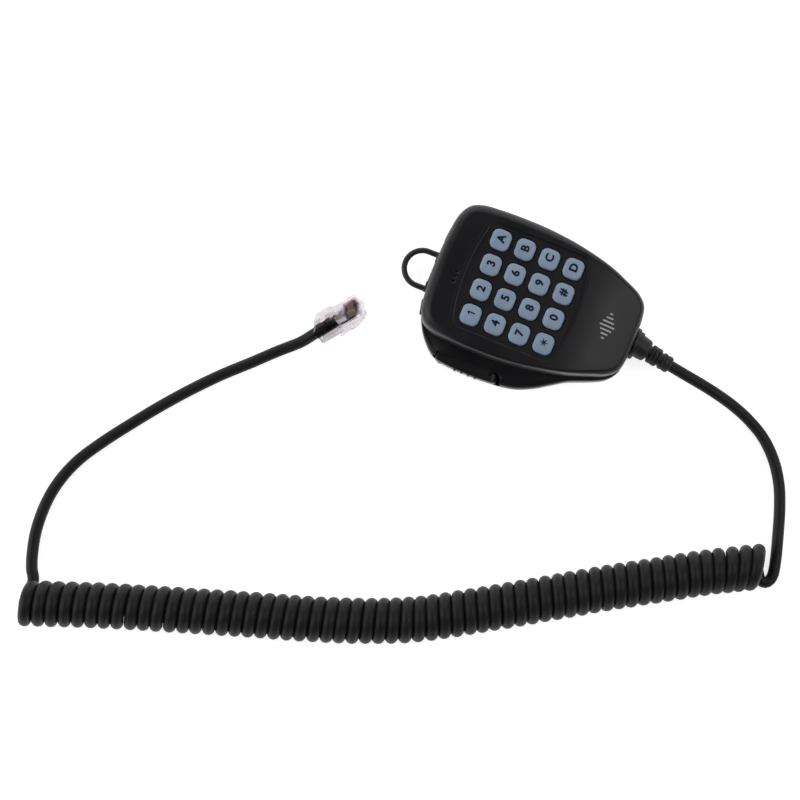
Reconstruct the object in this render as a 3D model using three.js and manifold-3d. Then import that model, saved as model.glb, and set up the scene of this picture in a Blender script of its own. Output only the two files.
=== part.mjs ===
// Hand microphone with a sixteen-key pad, a talk button on its left side, a hanger ring on its
// top end, and a curly cord that ends in a clear modular plug.
// Millimetres, +Z out of the keypad, +Y towards the hanger ring, the microphone flat on its back.
// Shapes are drawn about the keypad's centre; the outer group moves that point so that the origin
// is at the middle of the microphone's footprint, on the surface that it lies on.

import * as THREE from 'three';
import { mergeVertices } from 'three/addons/utils/BufferGeometryUtils.js';
import Module from 'manifold-3d';

const wasm = await Module();
wasm.setup();

// ---------------------------------------------------------------- driving dimensions

const KEYPAD_CENTRE = [4.55, 8.97]; // of the keypad, seen from the part's origin

const GAP = 0.3; // between pieces that touch
const PARTING_Z = 13; // where the two covers meet
const WALL = 2.1; // of both covers
const FLOOR_T = 2.2; // of the rear cover's back
const FACE_EDGE_R = 5.2; // rounding between the front cover's face and its walls
const FACE_BOW = 0.0009; // how fast the face falls away from its middle line, per mm
const OUTLINE_STEPS = 42; // points round a cover's outline

const RECESS_HALF = 22.6; // half of the keypad recess's width
const PANEL_Z = 27; // floor of the recess
const PANEL_T = 1.8;
const KEY_PITCH = [10.85, 10.45];
const KEY_SIZE = [8.4, 8.0];
const KEY_CORNER = 2.4;
const KEY_TOP_Z = 28.0; // edge of the key's crowned top
const KEY_CROWN = 0.22;
const KEY_FLANGE = [9.7, 9.3];
const KEY_FLANGE_Z = [23.9, 24.9];
const KEY_POST = 4.6;
const KEY_POST_Z = 22.0;
const KEY_NAMES = ['1', '2', '3', 'a', '4', '5', '6', 'b', '7', '8', '9', 'c', 'star', '0', 'hash', 'd'];

const MAT_SIZE = [41.8, 41.4];
const MAT_Z = [21.6, 22.8];
const SHEET_Z = [20.6, 20.9];
const LAMP_FILM_Z = [21.1, 21.3]; // the film that carries the lamps
const LAMP_TOP_Z = 21.45;
const BOARD_Z = [18.7, 20.3];
const BOARD_Y = [-28, 21];

const PORT = [-4.3, 27.6]; // middle of the microphone port
const PORT_SLOT = { width: 0.9, length: 2.4, pitch: 2.1 };
const CAPSULE_R = 4.85;
const CAPSULE_Z = [15.5, 21.8];

const TALK_PIVOT = [-34.6, 20.4];
const TALK_PIN_TOP = 9.4; // under the roof of the button's bore
const TALK_PIN_R = 1.0;
const TALK_Z = [2.8, 10.5];
const TALK_INNER_X = -31.2;
const TALK_RIB_X = -37.35;
const TALK_RIB_Y = [4.6, 7.6, 10.6, 13.6];
const NOTCH_X = -33.6; // inner edge of the opening that the talk button shows through
const NOTCH_Y = [-4.7, 23.4];
const PLUNGER_R = 1.5;
const PLUNGER_Y = 0;

const TOP_BUTTON_X = { up: 13.2, down: -18.4 };
const TOP_BUTTON_Z = 7;
const TOP_BUTTON_SIZE = [6.4, 3.8];
const TOP_BUTTON_PROUD = 0.8;
const TOP_FLANGE_Y = [32.5, 33.2];
const TOP_WALL_Y = 36.9;

const RING_X = -3.35; // middle of the hanger ring
const RING_Z = 6;
const RING_PIN_Y = 37.0;
const RING_WIRE_R = 1.1;
const RING_RADIUS = 7.45; // to the middle of the wire
const RING_LEG = 4.5;
const RING_PIN_R = 0.6;
const RING_EYE_R = 1.7;
const RING_PIN_REACH = RING_RADIUS + 1.3;

const COVER_SCREWS = [[-21.2, 24.6], [21.2, 24.6], [-11.6, -41], [11.6, -41]];
const COVER_SCREW = { headZ: 1.4, tipZ: 20.6, headR: 2.4, shaftR: 1.25 };
const COVER_BORE_R = 1.6;
const COVER_BORE_TOP = 21.5;
const FRONT_BOSS_R = 2.8;
const REAR_BOSS_R = 3.8;
const COUNTERBORE = { r: 2.9, depth: 3 };

const BOARD_SCREWS = [[-23.4, 13], [23.4, 13], [-16.6, -25], [16.6, -25]];
const BOARD_SCREW = { headZ: 17.2, tipZ: 23.6, headR: 1.9, shaftR: 0.8 };
const BOARD_BORE_R = 1.1;
const BOARD_BORE_TOP = 24.2;
const BOARD_BOSS_R = 2.1;

const CLAMP_PEGS = [[-5.4, -40.5], [5.4, -40.5]];
const CLAMP_PEG_R = 0.9;

const CORD_R = 2.4;
const CORD_Z = 12; // where the cord leaves the microphone
const CORD_HOLE_R = 4.2;
const RELIEF_X = -0.4;
const RELIEF_BASE = [RELIEF_X, -50.9, CORD_Z]; // inside its flange
const RELIEF_DIRECTION = [-0.165, -0.98, -0.115];
const RELIEF_LENGTH = 16.8;

const COIL_R = 9.45; // outside of the coil's turns

const PLUG_LENGTH = 21.46;
const PLUG_WIDTH = 11.68;
const PLUG_HEIGHT = 6.5;
const PLUG_REAR = [-43.4, 71.2, 6.3]; // middle of the plug's rear face
const PLUG_YAW = -39;
const PLUG_PITCH = 22;
const PLUG_ROLL = -54;
const CONTACT_PITCH = 1.02;

// The right half of both covers' outline, from the cord end to the ring end.
const RIGHT_SIDE = [
  [0, -49.4], [9, -49.2], [14.2, -47.9], [17.6, -44.2], [20.4, -37.5], [23.3, -29.5], [25.6, -20.5],
  [27.4, -11], [28.5, -1], [28.8, 10], [28.5, 20], [27.7, 27.5], [25.6, 32.2], [20.5, 35.2],
  [11, 36.5], [0, 36.9],
];

// The rear cover's left side carries the wing that holds the talk button.
const WING_SIDE = [
  [-9, -49.3], [-14.6, -48.3], [-18.4, -45.1], [-21, -40.3], [-22.9, -35.7], [-24.9, -31],
  [-28.3, -25.7], [-32.4, -19.3], [-35.5, -12.2], [-36.8, -4.8], [-37.1, 8], [-36.8, 16], [-35.5, 23.8],
  [-32, 28.2], [-27.3, 31.9], [-21, 34.9], [-11, 36.5],
];

// The cord between the strain relief and the coil.
const MIC_LEAD = [
  [-3.2, -67.75, 10.0], [-4.1, -74.4, 9.0], [-5, -81.8, 7.6], [-6.2, -89.7, 5.9], [-8.1, -98.3, 4.2],
  [-11.3, -107.1, 3.1], [-15.9, -115.1, 2.6], [-22.8, -122.2, 2.5], [-31.2, -127.7, 2.5],
  [-40.6, -131.6, 2.5], [-51.1, -134.9, 2.5], [-60.3, -137.5, 2.5], [-65.6, -138.9, 2.5],
  [-68.3, -139.1, 2.5], [-69.9, -137.4, 2.5],
];

// The middle of the coil, from its plug end to its microphone end.
const COIL_LINE = [
  [-191.4, 140.8], [-180.1, 110.3], [-168.6, 76.2], [-160.6, 52.4], [-153.6, 31], [-145.8, 9.8],
  [-137.4, -9.4], [-122, -36], [-107.8, -59.2], [-96.6, -77.2], [-86.4, -94.4], [-76, -111.6],
  [-64.5, -133.2],
];

// The cord between the coil and the plug, which it meets in line with the plug's own axis.
const PLUG_LEAD = [
  [-181.8, 141.2, 2.5], [-177.6, 143.6, 2.5], [-172.4, 145.6, 2.5], [-162.4, 148, 2.5],
  [-149.7, 148.6, 2.5], [-139.8, 146.9, 2.5], [-129.6, 143.1, 2.5], [-119.4, 137, 2.5],
  [-107.3, 128.5, 2.5], [-95.7, 119.8, 2.5], [-84.5, 110.6, 2.5], [-74.7, 101.7, 2.5],
  [-65.3, 92.1, 2.7], [-57.2, 84, 3.4],
];

// ---------------------------------------------------------------- materials

function finish(color, roughness, metalness = 0, extra = {}) {
  return new THREE.MeshStandardMaterial({ color, roughness, metalness, ...extra });
}

const bodyPlastic = finish(0x17181a, 0.55);
const keyPlastic = finish(0x93a0b0, 0.45);
const blackRubber = finish(0x141414, 0.8);
const cordRubber = finish(0x161618, 0.6);
const clearPlastic = finish(0xe6e2de, 0.1, 0, { transparent: true, opacity: 0.4 });
const goldContact = finish(0xc79a3c, 0.3, 1);
const steel = finish(0xa6a8ab, 0.35, 1);
const blackSteel = finish(0x2a2928, 0.45, 0.6);
const boardGreen = finish(0x1f5a35, 0.5);
const chipBlack = finish(0x1b1b1d, 0.5);
const capsuleAluminium = finish(0xb9bbbd, 0.35, 1);
const feltBlack = finish(0x1a1a1a, 0.95);
const filmAmber = finish(0x9a7a3a, 0.5);
const lampGreen = finish(0xd8e6c0, 0.3);
const switchBody = finish(0x222428, 0.5);
const whiteNylon = finish(0xe8e6dc, 0.5);
const wireMix = finish(0xc8c8c8, 0.5);

// ---------------------------------------------------------------- solids and booleans

function toSolid(geometry) {
  const bare = geometry.clone();
  bare.deleteAttribute('normal');
  bare.deleteAttribute('uv');
  const merged = mergeVertices(bare, 1e-4);
  return new wasm.Manifold(new wasm.Mesh({
    numProp: 3,
    vertProperties: new Float32Array(merged.attributes.position.array),
    triVerts: new Uint32Array(merged.index.array),
  }));
}

function toGeometry(solid) {
  const mesh = solid.getMesh();
  const geometry = new THREE.BufferGeometry();
  geometry.setAttribute('position', new THREE.BufferAttribute(mesh.vertProperties, 3));
  geometry.setIndex(new THREE.BufferAttribute(mesh.triVerts, 1));
  geometry.computeVertexNormals();
  return geometry;
}

function union(geometries) {
  return geometries.map(toSolid).reduce((sum, next) => sum.add(next));
}

function cutAll(body, cutters) {
  return cutters.map(toSolid).reduce((rest, cutter) => rest.subtract(cutter), body);
}

// A box between two corners.
function block(low, high) {
  const size = high.map((value, axis) => value - low[axis]);
  const geometry = new THREE.BoxGeometry(...size);
  return geometry.translate(...low.map((value, axis) => value + size[axis] / 2));
}

// A box about a point in the XY plane, between two heights.
function squareBlock([x, y], [width, depth], [low, high]) {
  return block([x - width / 2, y - depth / 2, low], [x + width / 2, y + depth / 2, high]);
}

// A round bar along an axis, from one coordinate to the other, at a point of the other two axes.
function bar(axis, radius, from, to, centre, sides = 24) {
  const geometry = new THREE.CylinderGeometry(radius, radius, to - from, sides);
  const middle = (from + to) / 2;
  if (axis === 'x') return geometry.rotateZ(Math.PI / 2).translate(middle, centre[0], centre[1]);
  if (axis === 'y') return geometry.translate(centre[0], middle, centre[1]);
  return geometry.rotateX(Math.PI / 2).translate(centre[0], centre[1], middle);
}

// A prism that stands on an outline in the XY plane.
function prism(shape, low, high, curveSegments = 6) {
  const geometry = new THREE.ExtrudeGeometry(shape, {
    depth: high - low, bevelEnabled: false, curveSegments,
  });
  return geometry.translate(0, 0, low);
}

function roundedRectangle(width, height, radius, x = 0, y = 0) {
  const shape = new THREE.Shape();
  const right = width / 2 - radius;
  const top = height / 2 - radius;
  shape.absarc(x + right, y - top, radius, -Math.PI / 2, 0);
  shape.absarc(x + right, y + top, radius, 0, Math.PI / 2);
  shape.absarc(x - right, y + top, radius, Math.PI / 2, Math.PI);
  shape.absarc(x - right, y - top, radius, Math.PI, Math.PI * 1.5);
  shape.closePath();
  return shape;
}

// A closed body through rings of points that all have the same count, each ring counterclockwise
// seen from above, and the first ring the lowest.
function loft(rings) {
  const count = rings[0].length;
  const positions = rings.flat().flatMap((point) => [point.x, point.y, point.z]);
  const index = [];
  for (let level = 0; level + 1 < rings.length; level++) {
    for (let i = 0; i < count; i++) {
      const next = (i + 1) % count;
      const a = level * count + i;
      const b = level * count + next;
      index.push(a, b, b + count, a, b + count, a + count);
    }
  }
  [[0, false], [rings.length - 1, true]].forEach(([level, top]) => {
    const flat = rings[level].map((point) => new THREE.Vector2(point.x, point.y));
    THREE.ShapeUtils.triangulateShape(flat, []).forEach(([a, b, c]) => {
      const corner = [a, b, c].map((i) => level * count + i);
      index.push(...(top ? corner : corner.reverse()));
    });
  });
  const geometry = new THREE.BufferGeometry();
  geometry.setAttribute('position', new THREE.Float32BufferAttribute(positions, 3));
  geometry.setIndex(index);
  return geometry;
}

// A round tube along a curve.
function tube(points, radius, sides, steps) {
  const section = new THREE.Shape();
  for (let i = 0; i < sides; i++) {
    const angle = (i / sides) * Math.PI * 2;
    const x = Math.cos(angle) * radius;
    const y = Math.sin(angle) * radius;
    if (i === 0) section.moveTo(x, y);
    else section.lineTo(x, y);
  }
  const path = new THREE.CatmullRomCurve3(points.map((point) => new THREE.Vector3(...point)));
  return new THREE.ExtrudeGeometry(section, { steps, bevelEnabled: false, extrudePath: path });
}

// A turned body: radius and distance pairs along a direction, starting and ending on the axis.
function turned(profile, start, direction, sides = 20) {
  const geometry = new THREE.LatheGeometry(
    profile.map(([radius, distance]) => new THREE.Vector2(radius, distance)), sides,
  );
  const turn = new THREE.Quaternion().setFromUnitVectors(new THREE.Vector3(0, 1, 0), direction);
  return geometry.applyQuaternion(turn).translate(...start);
}

// ---------------------------------------------------------------- cover shapes

function closedOutline(points) {
  const curve = new THREE.CatmullRomCurve3(
    points.map(([x, y]) => new THREE.Vector3(x, y, 0)), true, 'centripetal',
  );
  return curve.getSpacedPoints(OUTLINE_STEPS).slice(0, OUTLINE_STEPS);
}

const mirroredSide = RIGHT_SIDE.slice(1, -1).map(([x, y]) => [-x, y]).reverse();
const frontOutline = closedOutline([...RIGHT_SIDE, ...mirroredSide]);
const rearOutline = closedOutline([...RIGHT_SIDE, ...WING_SIDE.slice().reverse()]);

// The outline moved inwards, at a height.
function insetRing(outline, inset, z) {
  const count = outline.length;
  return outline.map((point, i) => {
    const before = outline[(i + count - 1) % count];
    const after = outline[(i + 1) % count];
    const along = new THREE.Vector3().subVectors(after, before).normalize();
    return new THREE.Vector3(point.x - along.y * inset, point.y + along.x * inset, z);
  });
}

// Height of the front cover's outer face before its edge is rounded: it rises from the ring end
// to a chin under the keypad, then falls towards the cord.
const FACE_LINE = new THREE.SplineCurve([
  [-60, 17.4], [-49, 22.6], [-42, 25.5], [-34, 27.6], [-24, 28.6], [-10, 28.5], [6, 28.15],
  [24, 27.45], [33, 26.7], [42, 25.2],
].map(([y, z]) => new THREE.Vector2(y, z)));

function faceHeight(x, y) {
  let low = 0;
  let high = 1;
  for (let step = 0; step < 24; step++) {
    const middle = (low + high) / 2;
    if (FACE_LINE.getPoint(middle).x < y) low = middle;
    else high = middle;
  }
  return FACE_LINE.getPoint(low).y - FACE_BOW * x * x;
}

// Moves a ring of points up to the face, less a fall.
function onFace(ring, fall) {
  return ring.map((point) => new THREE.Vector3(point.x, point.y, faceHeight(point.x, point.y) - fall));
}

// The front cover's solid shape: walls, a rounded edge, and the crowned face.
function frontShape(inset, drop, baseZ) {
  const rings = [insetRing(frontOutline, inset, baseZ)];
  for (const turn of [0, 30, 60, 90]) {
    const angle = (turn * Math.PI) / 180;
    const depth = 0.86 * FACE_EDGE_R * (1 - Math.cos(angle));
    const fall = FACE_EDGE_R * (1 - Math.sin(angle));
    rings.push(onFace(insetRing(frontOutline, inset + depth, 0), fall + drop));
  }
  // Two smaller rings about the middle of the face follow its crown.
  const edge = rings[rings.length - 1];
  const middle = new THREE.Vector3(0, -5, 0);
  for (const scale of [0.62, 0.2]) {
    const smaller = edge.map((point) => new THREE.Vector3().lerpVectors(middle, point, scale));
    rings.push(onFace(smaller, drop));
  }
  return loft(rings);
}

// The keypad recess: bowed at the top and bottom, straight at the sides.
function recessShape(grow = 0) {
  const half = RECESS_HALF + grow;
  const shape = new THREE.Shape();
  shape.moveTo(half, -17.8);
  shape.lineTo(half, 18.6);
  shape.quadraticCurveTo(half - 0.2, 21.4 + grow, half - 3.4, 21.9 + grow);
  shape.quadraticCurveTo(0, 26 + grow, 3.4 - half, 21.9 + grow);
  shape.quadraticCurveTo(0.2 - half, 21.4 + grow, -half, 18.6);
  shape.lineTo(-half, -17.8);
  shape.quadraticCurveTo(0.2 - half, -20.4 - grow, 3.4 - half, -20.9 - grow);
  shape.quadraticCurveTo(0, -26.2 - grow, half - 3.4, -20.9 - grow);
  shape.quadraticCurveTo(half - 0.2, -20.4 - grow, half, -17.8);
  return shape;
}

function keyCentre(index) {
  const column = index % 4;
  const row = Math.floor(index / 4);
  return [(column - 1.5) * KEY_PITCH[0], (1.5 - row) * KEY_PITCH[1]];
}

// The hole in the end wall that both covers close round the strain relief.
function cordHole() {
  return bar('y', CORD_HOLE_R, -52, -44, [RELIEF_X, CORD_Z], 20);
}

function frontCover() {
  let cover = toSolid(frontShape(0, 0, PARTING_Z + GAP / 2));
  cover = cover.subtract(toSolid(frontShape(WALL, WALL, PARTING_Z - 1)));
  // The panel behind the keypad is flat on both sides.
  cover = cover.add(toSolid(prism(recessShape(1.5), PANEL_Z - PANEL_T, PANEL_Z + 0.1, 5)));
  const bosses = COVER_SCREWS.map((at) => bar('z', FRONT_BOSS_R, PARTING_Z + 0.6, 24.6, at, 16));
  const boardBosses = BOARD_SCREWS.map((at) => bar('z', BOARD_BOSS_R, BOARD_Z[1] + GAP, 25.6, at, 14));
  const posts = union([...bosses, ...boardBosses]);
  cover = cover.add(posts.intersect(toSolid(frontShape(0.6, 0.6, PARTING_Z))));
  const cutters = [
    prism(recessShape(), PANEL_Z, PANEL_Z + 4, 5),
    ...KEY_NAMES.map((name, i) => prism(
      roundedRectangle(KEY_SIZE[0] + 2 * GAP, KEY_SIZE[1] + 2 * GAP, KEY_CORNER + GAP, ...keyCentre(i)),
      PANEL_Z - PANEL_T - 1, PANEL_Z + 1, 2,
    )),
    ...[-1, 0, 1].map((step) => prism(
      roundedRectangle(
        PORT_SLOT.width, PORT_SLOT.length, 0.4, PORT[0] + step * PORT_SLOT.pitch, PORT[1],
      ), 20, 30, 2,
    )),
    ...COVER_SCREWS.map((at) => bar('z', COVER_BORE_R, PARTING_Z, COVER_BORE_TOP, at, 14)),
    ...BOARD_SCREWS.map((at) => bar('z', BOARD_BORE_R, BOARD_Z[1], BOARD_BORE_TOP, at, 12)),
    cordHole(),
  ];
  return toGeometry(cutAll(cover, cutters));
}

function rearCover() {
  const top = PARTING_Z - GAP / 2;
  const levels = [[2.4, 0], [0.9, 0.7], [0.2, 2], [0, 3.6], [0, top - 0.4], [0.3, top]];
  let cover = toSolid(loft(levels.map(([inset, z]) => insetRing(rearOutline, inset, z))));
  const hollow = loft([
    insetRing(rearOutline, WALL + 1.2, FLOOR_T), insetRing(rearOutline, WALL, FLOOR_T + 1.4),
    insetRing(rearOutline, WALL, top - 2),
  ]);
  const mouth = loft([
    insetRing(frontOutline, WALL, top - 4), insetRing(frontOutline, WALL, top + 1),
  ]);
  cover = cutAll(cover, [hollow, mouth]);

  const bosses = union([
    ...COVER_SCREWS.map((at) => bar('z', REAR_BOSS_R, 0.5, PARTING_Z - 0.6, at, 18)),
    ...CLAMP_PEGS.map((at) => bar('z', 2.4, 1, 9.9, at, 14)),
    ...CLAMP_PEGS.map((at) => bar('z', CLAMP_PEG_R, 9, 12.6, at, 12)),
    block([-2.6, -42, 1], [2.6, -39, 9.2]),
    // Seats over and under the talk button's pin.
    bar('z', 2.2, 0.8, TALK_Z[0] - GAP, TALK_PIVOT, 14),
    // Slots that hold the two small boards.
    block([-24.4, -6.4, 1], [-20.6, -4.6, 9]),
    block([-24.4, 4.6, 1], [-20.6, 6.4, 9]),
    block([-25.6, 28.6, 1], [-23.8, 31.8, 9]),
    block([18.4, 28.6, 1], [20.4, 32.2, 9]),
    // Open clips that the hanger ring's pin snaps into, and a thicker wall behind them.
    ...[-1, 1].map((side) => block(
      [RING_X + side * 5.1 - 0.75, TOP_WALL_Y - 1.4, RING_Z - 1.6],
      [RING_X + side * 5.1 + 0.75, RING_PIN_Y + 0.85, RING_Z + 1.6],
    )),
    block([RING_X - 10, 33.6, 1.5], [RING_X + 10, TOP_WALL_Y - 1.3, 10.6]),
  ]);
  cover = cover.add(bosses);

  const cutters = [
    block([-40, NOTCH_Y[0], FLOOR_T + 0.1], [NOTCH_X, NOTCH_Y[1], PARTING_Z + 1]),
    block([-40, NOTCH_Y[0], FLOOR_T + 0.1], [TALK_INNER_X + 1, NOTCH_Y[1], TALK_Z[1] + 0.4]),
    ...COVER_SCREWS.map((at) => bar('z', COVER_BORE_R, -1, PARTING_Z, at, 14)),
    ...COVER_SCREWS.map((at) => bar('z', COUNTERBORE.r, -1, COUNTERBORE.depth, at, 18)),
    block([-23.5, -5.4, 2], [-21.7, 5.4, 10]),
    block([-24.5, 29.5, 2], [19.1, 31.3, 10.4]),
    cordHole(),
    bar('x', RING_PIN_R + GAP, RING_X - RING_PIN_REACH - GAP, RING_X + RING_PIN_REACH + GAP,
      [RING_PIN_Y, RING_Z], 14),
    // Slots that let the ring's legs swing up.
    ...[-1, 1].map((side) => block(
      [RING_X + side * RING_RADIUS - RING_WIRE_R - GAP, RING_PIN_Y - RING_EYE_R - GAP,
        RING_Z - RING_EYE_R - GAP],
      [RING_X + side * RING_RADIUS + RING_WIRE_R + GAP, TOP_WALL_Y + 3, PARTING_Z + 1],
    )),
    bar('z', TALK_PIN_R + GAP, 1.2, TALK_PIN_TOP + GAP, TALK_PIVOT, 16),
    ...Object.values(TOP_BUTTON_X).map((x) => topButtonBlock(x, GAP, [32, 39])),
    ...Object.values(TOP_BUTTON_X).map((x) => topButtonBlock(x, 0.6 + GAP, [32, TOP_FLANGE_Y[1] + GAP])),
  ];
  return toGeometry(cutAll(cover, cutters));
}

// ---------------------------------------------------------------- keypad

function keyBody(index) {
  const [x, y] = keyCentre(index);
  const outline = roundedRectangle(...KEY_SIZE, KEY_CORNER).getPoints(2).slice(0, -1);
  const ring = (scale, z) => outline.map((p) => new THREE.Vector3(x + p.x * scale, y + p.y * scale, z));
  const cap = loft([
    ring(1, KEY_FLANGE_Z[1] - 0.2), ring(1, KEY_TOP_Z - 0.3), ring(0.95, KEY_TOP_Z),
    ring(0.5, KEY_TOP_Z + KEY_CROWN),
  ]);
  const flange = squareBlock([x, y], KEY_FLANGE, KEY_FLANGE_Z);
  const post = squareBlock([x, y], [KEY_POST, KEY_POST], [KEY_POST_Z, KEY_FLANGE_Z[0] + 0.1]);
  return toGeometry(union([cap, flange, post]));
}

function lampPlaces() {
  const places = [];
  for (const column of [-1, 0, 1]) {
    for (const row of [-1, 0, 1]) {
      places.push([column * KEY_PITCH[0], row * KEY_PITCH[1]]);
    }
  }
  return places;
}

function keypadMat() {
  const openings = KEY_NAMES.map((name, i) => squareBlock(
    keyCentre(i), [KEY_POST + 1.2, KEY_POST + 1.2], [MAT_Z[0] - 1, MAT_Z[1] + 1],
  ));
  return toGeometry(cutAll(toSolid(prism(roundedRectangle(...MAT_SIZE, 2), ...MAT_Z, 3)), openings));
}

function contactSheet() {
  return prism(roundedRectangle(...MAT_SIZE, 2), ...SHEET_Z, 3);
}

function circuitBoard() {
  const outline = loft([
    insetRing(frontOutline, WALL + 0.9, BOARD_Z[0]), insetRing(frontOutline, WALL + 0.9, BOARD_Z[1]),
  ]);
  const board = toSolid(outline).intersect(toSolid(block([-30, BOARD_Y[0], 18], [30, BOARD_Y[1], 21])));
  const holes = BOARD_SCREWS.map((at) => bar('z', 1.3, 18, 21, at, 12));
  return toGeometry(cutAll(board, holes));
}

function encoderChip() {
  const legPitch = 1.27;
  const under = BOARD_Z[0];
  const body = block([-12.2, 4.4, under - 2.2], [-1.8, 9.6, under - 0.4]);
  const legs = [];
  for (let i = 0; i < 8; i++) {
    const x = -11.45 + i * legPitch;
    legs.push(block([x, 3, under - 0.9], [x + 0.5, 4.6, under - GAP]));
    legs.push(block([x, 9.4, under - 0.9], [x + 0.5, 11, under - GAP]));
  }
  return toGeometry(union([body, ...legs]));
}

// Nine lamps on a film that runs between the keys.
function backlightStrip() {
  const [low, high] = LAMP_FILM_Z;
  const reach = KEY_PITCH[1] + 1.2;
  const strips = [-1, 0, 1].map((column) => block(
    [column * KEY_PITCH[0] - 0.9, -reach, low], [column * KEY_PITCH[0] + 0.9, reach, high],
  ));
  const bridge = block([-KEY_PITCH[0] - 0.9, -0.8, low], [KEY_PITCH[0] + 0.9, 0.8, high]);
  const lamps = lampPlaces().map(([x, y]) => block([x - 0.7, y - 0.4, low], [x + 0.7, y + 0.4, LAMP_TOP_Z]));
  return toGeometry(union([...strips, bridge, ...lamps]));
}

function filterCapacitor() {
  return bar('z', 2.5, BOARD_Z[0] - 6.4, BOARD_Z[0] - GAP, [10, 6], 18);
}

function cordConnector() {
  const housing = toSolid(block([-6, -24.2, 14], [6, -18.2, BOARD_Z[0] - GAP]));
  return toGeometry(cutAll(housing, [block([-5, -25, 15], [5, -20.4, 17.4])]));
}

// ---------------------------------------------------------------- microphone capsule

function microphoneCapsule() {
  return turned(
    [[0, 0], [CAPSULE_R - 0.3, 0], [CAPSULE_R, 0.3], [CAPSULE_R, 6.3], [1.6, 6.3], [1.4, 5.8], [0, 5.8]],
    [...PORT, CAPSULE_Z[0]], new THREE.Vector3(0, 0, 1),
  );
}

function capsuleBoot() {
  const inner = CAPSULE_R + GAP;
  const profile = [[2, 0], [inner + 1, 0], [inner + 1, 7.6], [inner, 7.6], [inner, 0.9], [2, 0.9], [2, 0]];
  return turned(profile, [...PORT, CAPSULE_Z[0] - 1.2], new THREE.Vector3(0, 0, 1));
}

function portFelt() {
  return bar('z', 4.6, CAPSULE_Z[1] + GAP, CAPSULE_Z[1] + 1.1, PORT, 20);
}

// ---------------------------------------------------------------- talk button

function talkButton() {
  const shape = new THREE.Shape();
  shape.moveTo(TALK_INNER_X, -3.6);
  shape.lineTo(-33, -4.1);
  shape.quadraticCurveTo(-36.6, -4.1, -37.1, -1.2);
  shape.quadraticCurveTo(-37.9, 9, -37, 18.5);
  shape.quadraticCurveTo(-36.4, 22.8, -34, 22.8);
  shape.quadraticCurveTo(-32, 22.6, -31.8, 19.4);
  shape.lineTo(TALK_INNER_X, 14);
  shape.closePath();
  const ribs = TALK_RIB_Y.map((y) => (
    bar('z', 0.55, TALK_Z[0] + 1.6, TALK_Z[1] - 1, [TALK_RIB_X, y], 8)
  ));
  const button = union([prism(shape, ...TALK_Z, 6), ...ribs]);
  const bore = bar('z', TALK_PIN_R + GAP, 0, TALK_PIN_TOP + GAP, TALK_PIVOT, 16);
  return toGeometry(cutAll(button, [bore]));
}

function talkPin() {
  return bar('z', TALK_PIN_R, 1.5, TALK_PIN_TOP, TALK_PIVOT, 16);
}

function talkSwitch() {
  const body = toSolid(block([-28, -3.2, 3.4], [-23.9, 3.2, 9.8]));
  return toGeometry(cutAll(body, [bar('x', PLUNGER_R + GAP, -29, -25.2, [PLUNGER_Y, 6.6], 16)]));
}

function talkPlunger() {
  return bar('x', PLUNGER_R, -30.9, -27, [PLUNGER_Y, 6.6], 16);
}

function talkBoard() {
  return block([-23.2, -5.1, 2.5], [-22, 5.1, 10.4]);
}

// ---------------------------------------------------------------- buttons on the ring end

// A button's outline along Y, made larger all round by a margin.
function topButtonBlock(x, margin, [nearY, farY]) {
  const width = TOP_BUTTON_SIZE[0] / 2 + margin;
  const height = TOP_BUTTON_SIZE[1] / 2 + margin;
  return block([x - width, nearY, TOP_BUTTON_Z - height], [x + width, farY, TOP_BUTTON_Z + height]);
}

// The button stands proud of the curved end wall by the same amount all along.
function topButton(x) {
  const proudWall = loft([
    insetRing(rearOutline, -TOP_BUTTON_PROUD, 1), insetRing(rearOutline, -TOP_BUTTON_PROUD, 12),
  ]);
  const cap = toSolid(topButtonBlock(x, 0, [TOP_FLANGE_Y[0] + 0.1, 39])).intersect(toSolid(proudWall));
  return toGeometry(cap.add(toSolid(topButtonBlock(x, 0.6, TOP_FLANGE_Y))));
}

function buttonBoard() {
  return block([-24.2, 29.8, 2.5], [18.8, 31, 10.2]);
}

function topSwitch(x) {
  return toGeometry(union([
    block([x - 3, 31.2, TOP_BUTTON_Z - 2.4], [x + 3, 31.6, TOP_BUTTON_Z + 2.4]),
    bar('y', 1.2, 31.5, 31.8, [x, TOP_BUTTON_Z], 12),
  ]));
}

// ---------------------------------------------------------------- hanger ring

function hangerRing() {
  const points = [];
  const centreY = RING_PIN_Y + RING_LEG;
  points.push([RING_X - RING_RADIUS, RING_PIN_Y, RING_Z]);
  for (let degrees = 180; degrees >= 0; degrees -= 20) {
    const angle = (degrees * Math.PI) / 180;
    points.push([
      RING_X + Math.cos(angle) * RING_RADIUS, centreY + Math.sin(angle) * RING_RADIUS, RING_Z,
    ]);
  }
  points.push([RING_X + RING_RADIUS, RING_PIN_Y, RING_Z]);
  const eyes = [-1, 1].map((side) => bar(
    'x', RING_EYE_R, RING_X + side * RING_RADIUS - RING_WIRE_R,
    RING_X + side * RING_RADIUS + RING_WIRE_R, [RING_PIN_Y, RING_Z], 14,
  ));
  const bores = [bar('x', RING_PIN_R + GAP, RING_X - 12, RING_X + 12, [RING_PIN_Y, RING_Z], 12)];
  return toGeometry(cutAll(union([tube(points, RING_WIRE_R, 8, 16), ...eyes]), bores));
}

function hangerPin() {
  return bar(
    'x', RING_PIN_R, RING_X - RING_PIN_REACH, RING_X + RING_PIN_REACH, [RING_PIN_Y, RING_Z], 14,
  );
}

// ---------------------------------------------------------------- fasteners

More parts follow.
